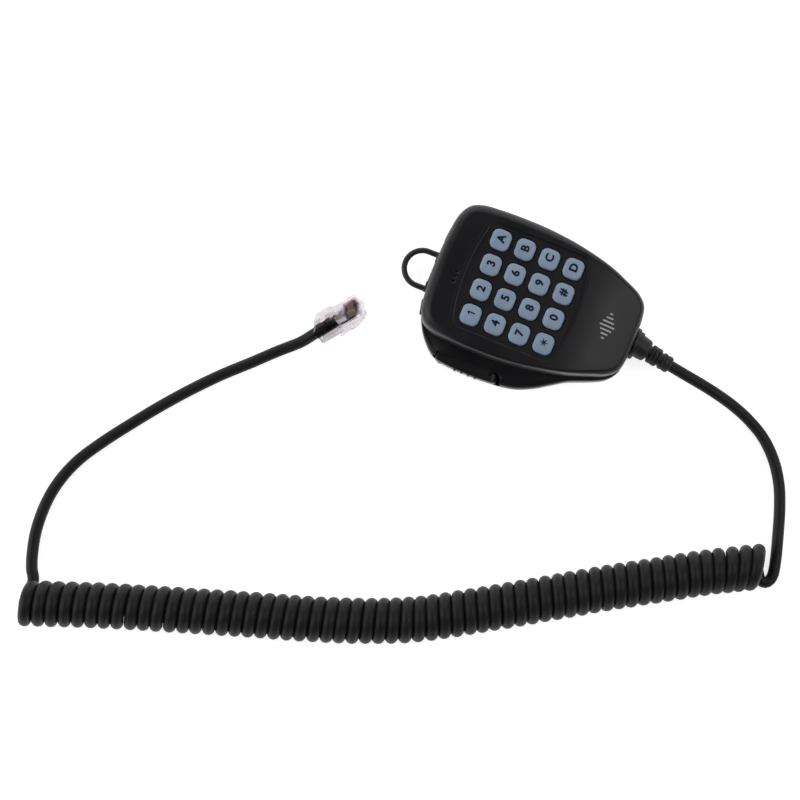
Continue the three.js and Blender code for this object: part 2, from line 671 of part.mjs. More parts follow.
// A screw that is driven upwards, with a round recess in its head.
function screw([x, y], { headZ, tipZ, headR, shaftR }) {
  const length = tipZ - headZ;
  const profile = [
    [0, 0.5], [0.5, 0.5], [0.5, 0], [headR * 0.8, 0], [headR, 0.5], [headR, 1.2], [shaftR, 1.2],
    [shaftR, length - 1], [0, length],
  ];
  return turned(profile, [x, y, headZ], new THREE.Vector3(0, 0, 1), 8);
}

// ---------------------------------------------------------------- cord end in the microphone

function strainRelief() {
  const direction = new THREE.Vector3(...RELIEF_DIRECTION).normalize();
  const outside = turned([
    [0, 0], [5.7, 0], [5.7, 1.2], [5, 1.3], [4.6, 5.5], [4.2, 5.9], [3.1, 6], [3.1, 7], [3.9, 7.2],
    [4, 10.7], [3.8, 11.2], [2.9, 11.3], [2.9, 12.3], [3.5, 12.5], [3.6, 16.2], [3.2, RELIEF_LENGTH],
    [0, RELIEF_LENGTH],
  ], RELIEF_BASE, direction, 12);
  const inside = turned([
    [0, 0], [5.6, 0], [5.6, 1.8], [3.8, 1.8], [3.8, 4.9], [6.6, 4.9], [6.6, 6.1], [6.2, 6.5], [0, 6.5],
  ], [RELIEF_X, -44.9, CORD_Z], new THREE.Vector3(0, -1, 0), 12);
  return toGeometry(union([outside, inside]));
}

function cordTail() {
  return bar('y', CORD_R, -44.6, -37.2, [RELIEF_X, CORD_Z], 16);
}

function cordClamp() {
  const shape = new THREE.Shape();
  const x = RELIEF_X;
  shape.moveTo(-7.4, 10.3);
  shape.lineTo(x - 2.8, 10.3);
  shape.lineTo(x - 2.8, CORD_Z);
  shape.absarc(x, CORD_Z, 2.8, Math.PI, 0, true);
  shape.lineTo(x + 2.8, 10.3);
  shape.lineTo(7.4, 10.3);
  shape.lineTo(7.4, 11.9);
  shape.lineTo(3.5, 11.9);
  shape.absarc(x, CORD_Z, 3.9, 0, Math.PI, false);
  shape.lineTo(-7.4, 11.9);
  shape.closePath();
  const saddle = new THREE.ExtrudeGeometry(shape, { depth: 3.6, bevelEnabled: false, curveSegments: 8 });
  saddle.rotateX(Math.PI / 2).translate(0, -38.7, 0);
  const holes = CLAMP_PEGS.map((at) => bar('z', CLAMP_PEG_R + GAP, 9, 13, at, 12));
  return toGeometry(cutAll(toSolid(saddle), holes));
}

// Four wires from the cord's end into the small plug that fits the board's connector.
function wireHarness() {
  const pieces = [block([-4.6, -26.4, 15.3], [4.6, -20.8, 17.1])];
  for (let i = 0; i < 4; i++) {
    const side = i - 1.5;
    pieces.push(tube([
      [side * 1.1 - 0.4, -36.6, CORD_Z], [side * 1.5, -33, 12.4 + i * 0.3], [side * 2, -29, 15.2],
      [side * 2, -25.9, 16.2],
    ], 0.45, 6, 7));
  }
  return toGeometry(union(pieces));
}

// ---------------------------------------------------------------- plug

// The plug's own frame: X forwards from the rear face, Z towards the contacts.
function plugHousing() {
  const half = PLUG_WIDTH / 2;
  const low = -PLUG_HEIGHT / 2;
  const side = new THREE.Shape();
  side.moveTo(0, low + 0.3);
  side.lineTo(18.6, low);
  side.lineTo(PLUG_LENGTH, low + 0.4);
  side.lineTo(PLUG_LENGTH, low + 2.4);
  side.lineTo(20.7, low + 3);
  side.lineTo(20.7, -low - 0.3);
  side.lineTo(20.3, -low);
  side.lineTo(9.6, -low);
  side.lineTo(9, -low + 1.3);
  side.lineTo(1.8, -low + 1.3);
  side.lineTo(0, -low + 0.2);
  side.closePath();
  const body = new THREE.ExtrudeGeometry(side, { depth: PLUG_WIDTH, bevelEnabled: false });
  body.rotateX(Math.PI / 2).translate(0, half, 0);
  const cutters = [
    block([-1, -CORD_R - 0.5, -CORD_R - 0.35], [10, CORD_R + 0.5, CORD_R + 0.5]),
    block([9.5, -4.5, -1.3], [18.6, 4.5, 0.3]),
    block([4.2, -3, 2.6], [6.6, 3, 6]),
  ];
  for (let i = 0; i < 8; i++) {
    const y = (i - 3.5) * CONTACT_PITCH;
    cutters.push(block([14.4, y - 0.32, -0.8], [22, y + 0.32, 4]));
  }
  return toGeometry(cutAll(toSolid(body), cutters));
}

// The latch bends at its root under the plug's nose.
function plugLatch() {
  const root = -PLUG_HEIGHT / 2;
  const side = new THREE.Shape();
  side.moveTo(20.9, root - 0.3);
  side.lineTo(21.3, root - 1);
  side.lineTo(19.4, root - 1.9);
  side.lineTo(13.6, root - 3.0);
  side.lineTo(6.6, root - 3.9);
  side.lineTo(6.4, root - 3.0);
  side.lineTo(13.2, root - 1.9);
  side.lineTo(18.4, root - 0.8);
  side.lineTo(19, root - 0.3);
  side.closePath();
  const arm = new THREE.ExtrudeGeometry(side, { depth: 3.3, bevelEnabled: false });
  arm.rotateX(Math.PI / 2).translate(0, 1.65, 0);
  const shoulderShape = new THREE.Shape();
  shoulderShape.moveTo(12.2, root - 2.7);
  shoulderShape.lineTo(14.6, root - 3.1);
  shoulderShape.lineTo(20.4, root - 1.3);
  shoulderShape.lineTo(20.4, root - 0.5);
  shoulderShape.lineTo(18.2, root - 0.85);
  shoulderShape.lineTo(12.4, root - 2.1);
  shoulderShape.closePath();
  const shoulders = new THREE.ExtrudeGeometry(shoulderShape, { depth: 6, bevelEnabled: false });
  shoulders.rotateX(Math.PI / 2).translate(0, 3, 0);
  return toGeometry(union([arm, shoulders]));
}

// Eight blades, each crimped into its own wire of a flat row that lies side by side.
function plugContacts() {
  const pieces = [];
  for (let i = 0; i < 8; i++) {
    const y = (i - 3.5) * CONTACT_PITCH;
    pieces.push(block([14.8, y - 0.17, -0.5], [20.4, y + 0.17, 2.9]));
    pieces.push(bar('x', 0.54, 10, 18.2, [y, -0.5], 8));
  }
  return toGeometry(union(pieces));
}

// ---------------------------------------------------------------- cord

const plugTurn = new THREE.Euler(
  THREE.MathUtils.degToRad(PLUG_ROLL), THREE.MathUtils.degToRad(-PLUG_PITCH),
  THREE.MathUtils.degToRad(PLUG_YAW), 'ZYX',
);

// A point in the plug's own frame, seen from the keypad's centre.
function onPlug(x, y = 0, z = 0) {
  return new THREE.Vector3(x, y, z).applyEuler(plugTurn).add(new THREE.Vector3(...PLUG_REAR)).toArray();
}

function micLead() {
  return tube(MIC_LEAD, CORD_R, 8, 20);
}

function plugLead() {
  return tube([...PLUG_LEAD, onPlug(-9), onPlug(-3), onPlug(3), onPlug(9.6)], CORD_R, 8, 26);
}

function coil() {
  return tube(COIL_LINE.map(([x, y]) => [x, y, COIL_R]), COIL_R, 12, 12);
}

// ---------------------------------------------------------------- assembly

const microphone = new THREE.Group();
microphone.position.set(KEYPAD_CENTRE[0], KEYPAD_CENTRE[1], 0);

const plug = new THREE.Group();
plug.position.set(...PLUG_REAR);
plug.rotation.copy(plugTurn);
microphone.add(plug);

function add(group, name, geometry, material) {
  const mesh = new THREE.Mesh(geometry, material);
  mesh.name = name;
  group.add(mesh);
}

add(microphone, 'front_cover', frontCover(), bodyPlastic);
add(microphone, 'rear_cover', rearCover(), bodyPlastic);
KEY_NAMES.forEach((name, index) => add(microphone, `key_${name}`, keyBody(index), keyPlastic));
add(microphone, 'keypad_mat', keypadMat(), blackRubber);
add(microphone, 'contact_sheet', contactSheet(), filmAmber);
add(microphone, 'main_circuit_board', circuitBoard(), boardGreen);
add(microphone, 'encoder_chip', encoderChip(), chipBlack);
add(microphone, 'backlight_strip', backlightStrip(), lampGreen);
add(microphone, 'filter_capacitor', filterCapacitor(), chipBlack);
add(microphone, 'cord_connector', cordConnector(), whiteNylon);
add(microphone, 'microphone_capsule', microphoneCapsule(), capsuleAluminium);
add(microphone, 'capsule_boot', capsuleBoot(), blackRubber);
add(microphone, 'port_felt', portFelt(), feltBlack);
add(microphone, 'talk_button', talkButton(), bodyPlastic);
add(microphone, 'talk_pivot_pin', talkPin(), steel);
add(microphone, 'talk_switch', talkSwitch(), switchBody);
add(microphone, 'talk_plunger', talkPlunger(), whiteNylon);
add(microphone, 'talk_switch_board', talkBoard(), boardGreen);
Object.entries(TOP_BUTTON_X).forEach(([name, x]) => {
  add(microphone, `${name}_button`, topButton(x), bodyPlastic);
  add(microphone, `${name}_switch`, topSwitch(x), switchBody);
});
add(microphone, 'top_button_board', buttonBoard(), boardGreen);
add(microphone, 'hanger_ring', hangerRing(), blackSteel);
add(microphone, 'hanger_pin', hangerPin(), blackSteel);
COVER_SCREWS.forEach((at, i) => add(microphone, `cover_screw_${i + 1}`, screw(at, COVER_SCREW), steel));
BOARD_SCREWS.forEach((at, i) => add(microphone, `board_screw_${i + 1}`, screw(at, BOARD_SCREW), steel));
add(microphone, 'strain_relief', strainRelief(), blackRubber);
add(microphone, 'cord_tail', cordTail(), cordRubber);
add(microphone, 'cord_clamp', cordClamp(), steel);
add(microphone, 'wire_harness', wireHarness(), wireMix);
add(microphone, 'cord_mic_lead', micLead(), cordRubber);
add(microphone, 'cord_coil', coil(), cordRubber);
add(microphone, 'cord_plug_lead', plugLead(), cordRubber);
add(plug, 'plug_housing', plugHousing(), clearPlastic);
add(plug, 'plug_latch', plugLatch(), clearPlastic);
add(plug, 'plug_contacts', plugContacts(), goldContact);

export default microphone;
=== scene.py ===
import math

import bmesh
import bpy
from mathutils import Euler, Matrix, Vector


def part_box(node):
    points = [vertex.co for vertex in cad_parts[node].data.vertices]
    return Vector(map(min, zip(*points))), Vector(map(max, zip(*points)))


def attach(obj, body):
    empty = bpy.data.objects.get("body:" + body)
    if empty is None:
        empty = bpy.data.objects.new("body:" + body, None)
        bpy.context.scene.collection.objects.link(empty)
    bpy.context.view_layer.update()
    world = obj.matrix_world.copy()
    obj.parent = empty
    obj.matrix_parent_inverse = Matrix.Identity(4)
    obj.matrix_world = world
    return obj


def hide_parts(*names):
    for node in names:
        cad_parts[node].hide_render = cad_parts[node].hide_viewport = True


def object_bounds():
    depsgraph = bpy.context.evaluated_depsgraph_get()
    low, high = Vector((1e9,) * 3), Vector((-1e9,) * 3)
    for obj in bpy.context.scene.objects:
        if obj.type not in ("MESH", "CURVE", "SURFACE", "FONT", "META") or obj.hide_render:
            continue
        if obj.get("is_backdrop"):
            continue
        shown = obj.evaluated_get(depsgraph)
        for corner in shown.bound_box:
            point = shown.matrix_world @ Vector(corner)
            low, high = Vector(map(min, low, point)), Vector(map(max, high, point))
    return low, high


# A hand microphone that lies on its back, with its curly cord laid out beside it.
# Shapes are drawn in millimetres about the keypad's centre, +Z out of the keypad and +Y towards
# the hanger ring, and are turned into metres in the row frame when their meshes are made.

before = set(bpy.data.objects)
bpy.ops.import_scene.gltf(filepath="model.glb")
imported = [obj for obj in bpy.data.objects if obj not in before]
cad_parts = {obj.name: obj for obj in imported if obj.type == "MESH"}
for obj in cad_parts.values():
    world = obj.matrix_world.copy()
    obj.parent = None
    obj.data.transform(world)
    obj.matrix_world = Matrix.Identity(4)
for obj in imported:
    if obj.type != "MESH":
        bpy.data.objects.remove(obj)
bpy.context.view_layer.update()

MM = 0.001
TAU = 2 * math.pi
mat_low, mat_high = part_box("keypad_mat")
KEYPAD = Vector(((mat_low.x + mat_high.x) / 2, (mat_low.y + mat_high.y) / 2, 0))

# ---------------------------------------------------------------- dimensions, in millimetres

# Z is from the surface that the microphone lies on; _R is a radius, _T a thickness.
GAP = 0.3
PARTING_Z = 13.0
WALL = 2.1
FLOOR_T = 2.2

FACE_EDGE_R = {"ring end": 4.8, "cord end": 2.6, "wing side": 1.3}
FACE_BOW = 0.0009
EDGE_REACH = 0.86
RECESS_HALF = 22.6
PANEL_Z = 27.0
PANEL_T = 1.8

KEY_PITCH = (10.85, 10.45)
KEY_SIZE = (8.4, 8.0)
KEY_FLANGE = (9.7, 9.3)
KEY_POST = (4.6, 4.6)
KEY_CORNER = 2.7
KEY_EDGE_R = 0.8
KEY_TOP_Z = 28.0
KEY_CROWN = 0.22
KEY_NAMES = ["1", "2", "3", "a", "4", "5", "6", "b", "7", "8", "9", "c", "star", "0", "hash", "d"]
KEY_PRINTS = "123A456B789C*0#D"
PRINT_HEIGHT = 3.15
PRINT_SHIFT = (0.5, 0.14)
FONT_CAPITAL = 0.69

PORT = (-4.3, 27.6)
PORT_SLOT = (0.9, 2.4)
PORT_PITCH = 2.1
COVER_SCREWS = [(-21.2, 24.6), (21.2, 24.6), (-11.6, -41.0), (11.6, -41.0)]
BOARD_SCREWS = [(-23.4, 13.0), (23.4, 13.0), (-16.6, -25.0), (16.6, -25.0)]

TALK_Z = (2.8, 10.5)
TALK_PIVOT = (-34.6, 20.4)
NOTCH_Y = (-4.7, 23.4)
TALK_RIB_X = -37.35
TALK_RIB_Y = (4.6, 7.6, 10.6, 13.6)
TALK_PIN_TOP = 9.4

TOP_BUTTON_X = {"up": 13.2, "down": -18.4}
TOP_BUTTON_Z = 7.0
TOP_BUTTON_SIZE = (6.4, 3.8)
TOP_FLANGE_Y = (32.5, 33.2)
TOP_POCKET_Y = (31.7, 33.5)
TOP_WALL_Y = 36.9

RING_X = -3.35
RING_Z = 6.0
RING_PIN_Y = 37.0
RING_WIRE_R = 1.2
RING_RADIUS = 7.45
RING_LEG = 4.5
RING_PIN_R = 0.6
RING_EYE_R = 1.6
RING_CLIP = 5.1

CORD_R = 2.4
CORD_Z = 12.0
CORD_STEP = 1.4
RELIEF_X = -0.4
RELIEF_BASE = Vector((RELIEF_X, -50.9, CORD_Z))
RELIEF_DIRECTION = Vector((-0.165, -0.98, -0.115)).normalized()
RELIEF_LENGTH = 16.8
CORD_HOLE_R = 4.2

COIL_OUTER_R = 9.45
COIL_WIRE_R = 2.68
COIL_R = COIL_OUTER_R - COIL_WIRE_R
COIL_TURNS = 58
STEPS_PER_TURN = 24
WOUND_EASE = 14.0

PLUG_LENGTH = 21.46
PLUG_WIDTH = 11.68
PLUG_HEIGHT = 6.5
PLUG_REAR = Vector((-43.4, 71.2, 6.3))
PLUG_TURN = Euler((math.radians(-54), math.radians(-22), math.radians(-39)), "XYZ").to_matrix()
CONTACT_PITCH = 1.02
CONTACT_Y = [(i - 3.5) * CONTACT_PITCH for i in range(8)]

# The right half of both covers' outline, from the cord end to the ring end.
RIGHT_SIDE = [
    (0, -49.4), (9, -49.2), (14.2, -47.9), (17.6, -44.2), (20.4, -37.5), (23.3, -29.5),
    (25.6, -20.5), (27.4, -11), (28.5, -1), (28.79, 10), (28.5, 20), (27.7, 27.5), (25.6, 32.2),
    (20.5, 35.2), (11, 36.5), (0, 36.9),
]

# The rear cover's left side, with the wing that holds the talk button.
WING_SIDE = [
    (-9, -49.3), (-14.6, -48.3), (-18.4, -45.1), (-21, -40.3), (-22.9, -35.7), (-24.9, -31),
    (-28.3, -25.7), (-32.4, -19.3), (-35.5, -12.2), (-36.8, -4.8), (-37.1, 8), (-36.8, 16), (-35.5, 23.8),
    (-32, 28.2), (-27.3, 31.9), (-21, 34.9), (-11, 36.5),
]

# The talk button's outline: a start, then each curve's control point, its end and its steps.
TALK_SIDE = [
    (-31.2, -1.8), ((-32.2, -1.9), (-33.0, -2.0), 4), ((-33.9, -4.1), (-35.8, -4.1), 12),
    ((-36.9, -4.0), (-37.1, -1.2), 10), ((-37.9, 9), (-37, 18.5), 40), ((-36.75, 20.7), (-36.45, 22), 8),
    ((-36.2, 22.8), (-35.3, 22.8), 6), ((-34.6, 22.8), (-34, 22.8), 4), ((-32, 22.6), (-31.8, 19.4), 10),
    ((-31.5, 17), (-31.2, 14), 6),
]

# The opening in the wing that the talk button shows through, from its ring end.
TALK_NOTCH = [
    (-39, 24.7), (-36.3, 24.6), (-35.2, 24.1), (-34.5, 23.4), (-34.15, 22.2), (-33.9, 18), (-33.4, 8),
    (-33.0, 0), (-33.05, -2.4), (-33.7, -4.3), (-34.9, -5.4), (-36.6, -5.9), (-39, -6.1),
]

# Height of the front cover's face along its middle, as Y and Z.
FACE_LINE = [
    (-60, 17.4), (-49, 22.6), (-42, 25.5), (-34, 27.55), (-24, 28.48), (-10, 28.42), (6, 28.12),
    (24, 27.45), (33, 26.7), (42, 25.2),
]

# The cord's route between the strain relief and the coil.
MIC_LEAD = [
    (-3.2, -67.75, 10), (-4.1, -74.4, 9), (-5, -81.8, 7.6), (-6.2, -89.7, 5.9), (-8.1, -98.3, 4.2),
    (-11.3, -107.1, 3.1), (-15.9, -115.1, 2.6), (-22.8, -122.2, 2.5), (-31.2, -127.7, 2.5),
    (-40.6, -131.6, 2.5), (-51.1, -134.9, 2.5), (-60.3, -137.5, 2.5), (-66, -138.6, 2.5),
    (-68.6, -138.3, 2.5), (-70.4, -136.8, 2.6), (-70.2, -134.6, 2.65),
]

# The middle of the coil, from its plug end to its microphone end.
COIL_LINE = [
    (-191.4, 140.8), (-180.1, 110.3), (-168.6, 76.2), (-160.7, 52.4), (-153.8, 30.9),
    (-146.1, 9.7), (-137.7, -9.5), (-122.1, -36.1), (-107.8, -59.2), (-96.6, -77.2), (-86.4, -94.4),
    (-76.2, -111.4), (-65.5, -131.3),
]

# The cord's route between the coil and the plug.
PLUG_LEAD = [
    (-181.8, 141.2, 2.5), (-177.6, 143.6, 2.5), (-172.4, 145.6, 2.5), (-162.4, 148, 2.5),
    (-149.7, 148.5, 2.5), (-139.8, 146.9, 2.5), (-129.6, 143.1, 2.5), (-119.4, 137, 2.5),
    (-107.3, 128.5, 2.5), (-95.7, 119.8, 2.5), (-84.5, 110.6, 2.5), (-74.7, 101.7, 2.5),
    (-65.3, 92.1, 2.7), (-57.2, 84, 3.4),
]

# The camera looks almost straight down, with the ring end at the left of its view.
CAMERA_TARGET = Vector((-56.81, 29.83, 0))
CAMERA_DISTANCE = 800.0
CAMERA_TILT = math.radians(4)
CAMERA_TURN = math.radians(-68)
CAMERA_LENS = 87.12

# Each soft box's way from the target in metres (right, up and above it), its size and its power.
LIGHT_TARGET = (-60, 10, 0)
SOFT_BOXES = {
    "left_box": ((-1.0, 0, 0.4), (0.8, 1.6), 7.4),
    "far_box": ((0, 1.0, 0.45), (1.6, 0.9), 5.6),
    "right_box": ((0.7, 0, 0.9), (0.5, 1.0), 3.6),
}
WORLD_STRENGTH = 0.45
FLOOR_GLOW = 0.75


def row(point):
    """A point drawn about the keypad's centre, in metres in the row frame."""
    return KEYPAD + Vector(point) * MM


# ---------------------------------------------------------------- curves and outlines

def smooth_line(points, step, closed=False):
    """Points a step apart along a centripetal Catmull-Rom curve through the given ones."""
    points = [Vector(p) for p in points]
    count = len(points)
    spans = count if closed else count - 1
    line = []
    for i in range(spans):
        if closed:
            p0, p1, p2, p3 = (points[(i + k) % count] for k in (-1, 0, 1, 2))
        else:
            p1, p2 = points[i], points[i + 1]
            p0 = points[i - 1] if i else p1 * 2 - p2
            p3 = points[i + 2] if i + 2 < count else p2 * 2 - p1
        t1 = math.sqrt((p1 - p0).length)
        t2 = t1 + math.sqrt((p2 - p1).length)
        t3 = t2 + math.sqrt((p3 - p2).length)
        pieces = max(1, math.ceil((p2 - p1).length / step))
        for k in range(pieces):
            t = t1 + (t2 - t1) * k / pieces
            a1 = p0 * ((t1 - t) / t1) + p1 * (t / t1)
            a2 = p1 * ((t2 - t) / (t2 - t1)) + p2 * ((t - t1) / (t2 - t1))
            a3 = p2 * ((t3 - t) / (t3 - t2)) + p3 * ((t - t2) / (t3 - t2))
            b1 = a1 * ((t2 - t) / t2) + a2 * (t / t2)
            b2 = a2 * ((t3 - t) / (t3 - t1)) + a3 * ((t - t1) / (t3 - t1))
            line.append(b1 * ((t2 - t) / (t2 - t1)) + b2 * ((t - t1) / (t2 - t1)))
    if not closed:
        line.append(points[-1])
    return line


def smooth_step(value, low, high):
    t = max(0.0, min(1.0, (value - low) / (high - low)))
    return t * t * (3 - 2 * t)


def quarter_turn(steps, first=0):
    """How far in and how far down each step of a rounded edge is, as parts of its radius."""
    turns = [math.pi / 2 * k / steps for k in range(first, steps + 1)]
    return [(1 - math.cos(t), 1 - math.sin(t)) for t in turns]


def flat_points(pairs):
    return [Vector((x, y, 0)) for x, y in pairs]


def polar(outline, centre, count):
    """The outline's points in evenly spaced directions from a centre, counterclockwise."""
    centre = Vector((centre[0], centre[1], 0))
    around = sorted(
        (math.atan2(p.y - centre.y, p.x - centre.x) % TAU, (p - centre).length) for p in outline
    )
    around = [(around[-1][0] - TAU, around[-1][1]), *around, (around[0][0] + TAU, around[0][1])]
    result = []
    at = 0
    for i in range(count):
        angle = TAU * i / count
        while around[at + 1][0] < angle:
            at += 1
        (a0, r0), (a1, r1) = around[at], around[at + 1]
        mix = (angle - a0) / (a1 - a0) if a1 > a0 else 0
        # Straight between the two neighbours, in the plane.
        q0 = Vector((math.cos(a0), math.sin(a0), 0)) * r0
        q1 = Vector((math.cos(a1), math.sin(a1), 0)) * r1
        result.append(centre + q0.lerp(q1, mix))
    return result


def inset(ring, distance, z=0.0):
    """The ring moved inwards, by one distance or by one for each point, at a height."""
    count = len(ring)
    moved = []
    for i, point in enumerate(ring):
        along = ring[(i + 1) % count] - ring[i - 1]
        normal = Vector((-along.y, along.x, 0)).normalized()
        step = distance[i] if isinstance(distance, list) else distance
        moved.append(Vector((point.x, point.y, 0)) + normal * step + Vector((0, 0, z)))
    return moved


def at_height(ring, z):
    return [Vector((p.x, p.y, z)) for p in ring]


def rounded_rectangle(width, height, radius, centre=(0, 0), corner_steps=8):
    points = []
    for corner, (sx, sy) in enumerate(((1, -1), (1, 1), (-1, 1), (-1, -1))):
        cx = centre[0] + sx * (width / 2 - radius)
        cy = centre[1] + sy * (height / 2 - radius)
        for step in range(corner_steps + 1):
            angle = math.pi / 2 * (corner - 1 + step / corner_steps)
            points.append(Vector((cx + radius * math.cos(angle), cy + radius * math.sin(angle), 0)))
    return points


def circle(radius, count, centre=(0, 0), z=0.0):
    return [
        Vector((centre[0] + radius * math.cos(TAU * i / count),
                centre[1] + radius * math.sin(TAU * i / count), z))
        for i in range(count)
    ]


def face_height(x, y):
    """Height of the front cover's face before its edge is rounded."""
    i = 0
    while i < len(FACE_LINE) - 3 and FACE_LINE[i + 2][0] < y:
        i += 1
    i = max(1, min(i + 1, len(FACE_LINE) - 3)) if y > FACE_LINE[1][0] else 0
    y1, z1 = FACE_LINE[i]
    y2, z2 = FACE_LINE[i + 1]
    y0, z0 = FACE_LINE[max(i - 1, 0)]
    y3, z3 = FACE_LINE[min(i + 2, len(FACE_LINE) - 1)]
    slope1 = (z2 - z0) / (y2 - y0)
    slope2 = (z3 - z1) / (y3 - y1)
    span = y2 - y1
    t = (y - y1) / span
    height = (
        z1 * (2 * t**3 - 3 * t**2 + 1) + slope1 * span * (t**3 - 2 * t**2 + t)
        + z2 * (3 * t**2 - 2 * t**3) + slope2 * span * (t**3 - t**2)
    )
    return height - FACE_BOW * x * x


def on_face(ring, fall=0.0):
    return [Vector((p.x, p.y, face_height(p.x, p.y) - fall)) for p in ring]


# ---------------------------------------------------------------- meshes

class Shape:
    """Points in millimetres and the faces between them."""

    def __init__(self):
        self.points = []
        self.faces = []

    def loft(self, rings, caps=(True, True)):
        """A skin through rings with one count, each counterclockwise seen from the last one."""
        count = len(rings[0])
        start = len(self.points)
        for ring in rings:
            self.points.extend(Vector(p) for p in ring)
        for level in range(len(rings) - 1):
            for i in range(count):
                a = start + level * count + i
                b = start + level * count + (i + 1) % count
                self.faces.append((a, b, b + count, a + count))
        if caps[0]:
            self.faces.append(tuple(start + i for i in reversed(range(count))))
        if caps[1]:
            last = start + (len(rings) - 1) * count
            self.faces.append(tuple(last + i for i in range(count)))
        return self

    def box(self, low, high):
        ring = [(low[0], low[1]), (high[0], low[1]), (high[0], high[1]), (low[0], high[1])]
        return self.loft([[(x, y, z) for x, y in ring] for z in (low[2], high[2])])

    def prism(self, ring, low, high):
        return self.loft([at_height(ring, low), at_height(ring, high)])

    def soft_prism(self, ring, low, high, radius, steps=3):
        """A prism with its edges rounded, at the top and at the bottom."""
        edge = quarter_turn(steps)
        rings = [inset(ring, radius * down, low + radius * across) for across, down in edge]
        rings += [inset(ring, radius * across, high - radius * down) for across, down in edge]
        return self.loft(rings)

    def turned(self, profile, start, direction, sides=48):
        """A turned body from radius and distance pairs; its ends are closed with flat caps."""
        turn = Vector((0, 0, 1)).rotation_difference(Vector(direction))
        rings = []
        for radius, distance in profile:
            ring = circle(max(radius, 0.001), sides, z=distance)
            rings.append([Vector(start) + turn @ p for p in ring])
        return self.loft(rings)

    def tube(self, line, radius, sides=16):
        """A round tube along a line of points."""
        rings = []
        normal = None
        for i, point in enumerate(line):
            ahead = line[min(i + 1, len(line) - 1)] - line[max(i - 1, 0)]
            ahead.normalize()
            if normal is None:
                normal = ahead.orthogonal().normalized()
            normal = (normal - ahead * normal.dot(ahead)).normalized()
            side = ahead.cross(normal)
            rings.append([
                point + (normal * math.cos(TAU * k / sides) + side * math.sin(TAU * k / sides)) * radius
                for k in range(sides)
            ])
        return self.loft(rings)

    def moved(self, matrix, shift):
        """The same shape turned and moved."""
        self.points = [matrix @ p + Vector(shift) for p in self.points]
        return self


def make_object(name, shape, sharp_degrees=35, unit=MM):
    """A new object; with a unit of 1 its mesh stays in millimetres, to be placed later."""
    mesh = bpy.data.meshes.new(name)
    points = [row(p) for p in shape.points] if unit == MM else shape.points
    mesh.from_pydata(points, [], shape.faces)
    made = bmesh.new()
    made.from_mesh(mesh)
    bmesh.ops.recalc_face_normals(made, faces=made.faces)
    made.to_mesh(mesh)
    made.free()
    obj = bpy.data.objects.new(name, mesh)
    bpy.context.scene.collection.objects.link(obj)
    shade(obj, sharp_degrees)
    return obj


def shade(obj, sharp_degrees=35):
    """Smooth faces, with sharp edges where they meet at more than an angle."""
    mesh = obj.data
    mesh.shade_smooth()
    mesh.set_sharp_from_angle(angle=math.radians(sharp_degrees))


def combine(obj, operation, *shapes):
    """Cuts closed shapes out of obj, or joins them to it."""
    for shape in shapes:
        tool = make_object("tool", shape)
        step = obj.modifiers.new("step", "BOOLEAN")
        step.solver = "MANIFOLD"
        step.operation = operation
        step.object = tool
        graph = bpy.context.evaluated_depsgraph_get()
        mesh = bpy.data.meshes.new_from_object(obj.evaluated_get(graph))
        obj.modifiers.clear()
        old = obj.data
        obj.data = mesh
        mesh.name = obj.name
        bpy.data.meshes.remove(old)
        bpy.data.objects.remove(tool)
    return obj


def cut(obj, *shapes):
    return combine(obj, "DIFFERENCE", *shapes)


def join(obj, *shapes):
    return combine(obj, "UNION", *shapes)


def weighted(obj):
    """Normals weighted by face size, so that large faces stay flat beside small ones."""
    step = obj.modifiers.new("weighted", "WEIGHTED_NORMAL")
    step.keep_sharp = True
    step.weight = 80
    return obj


# ---------------------------------------------------------------- materials

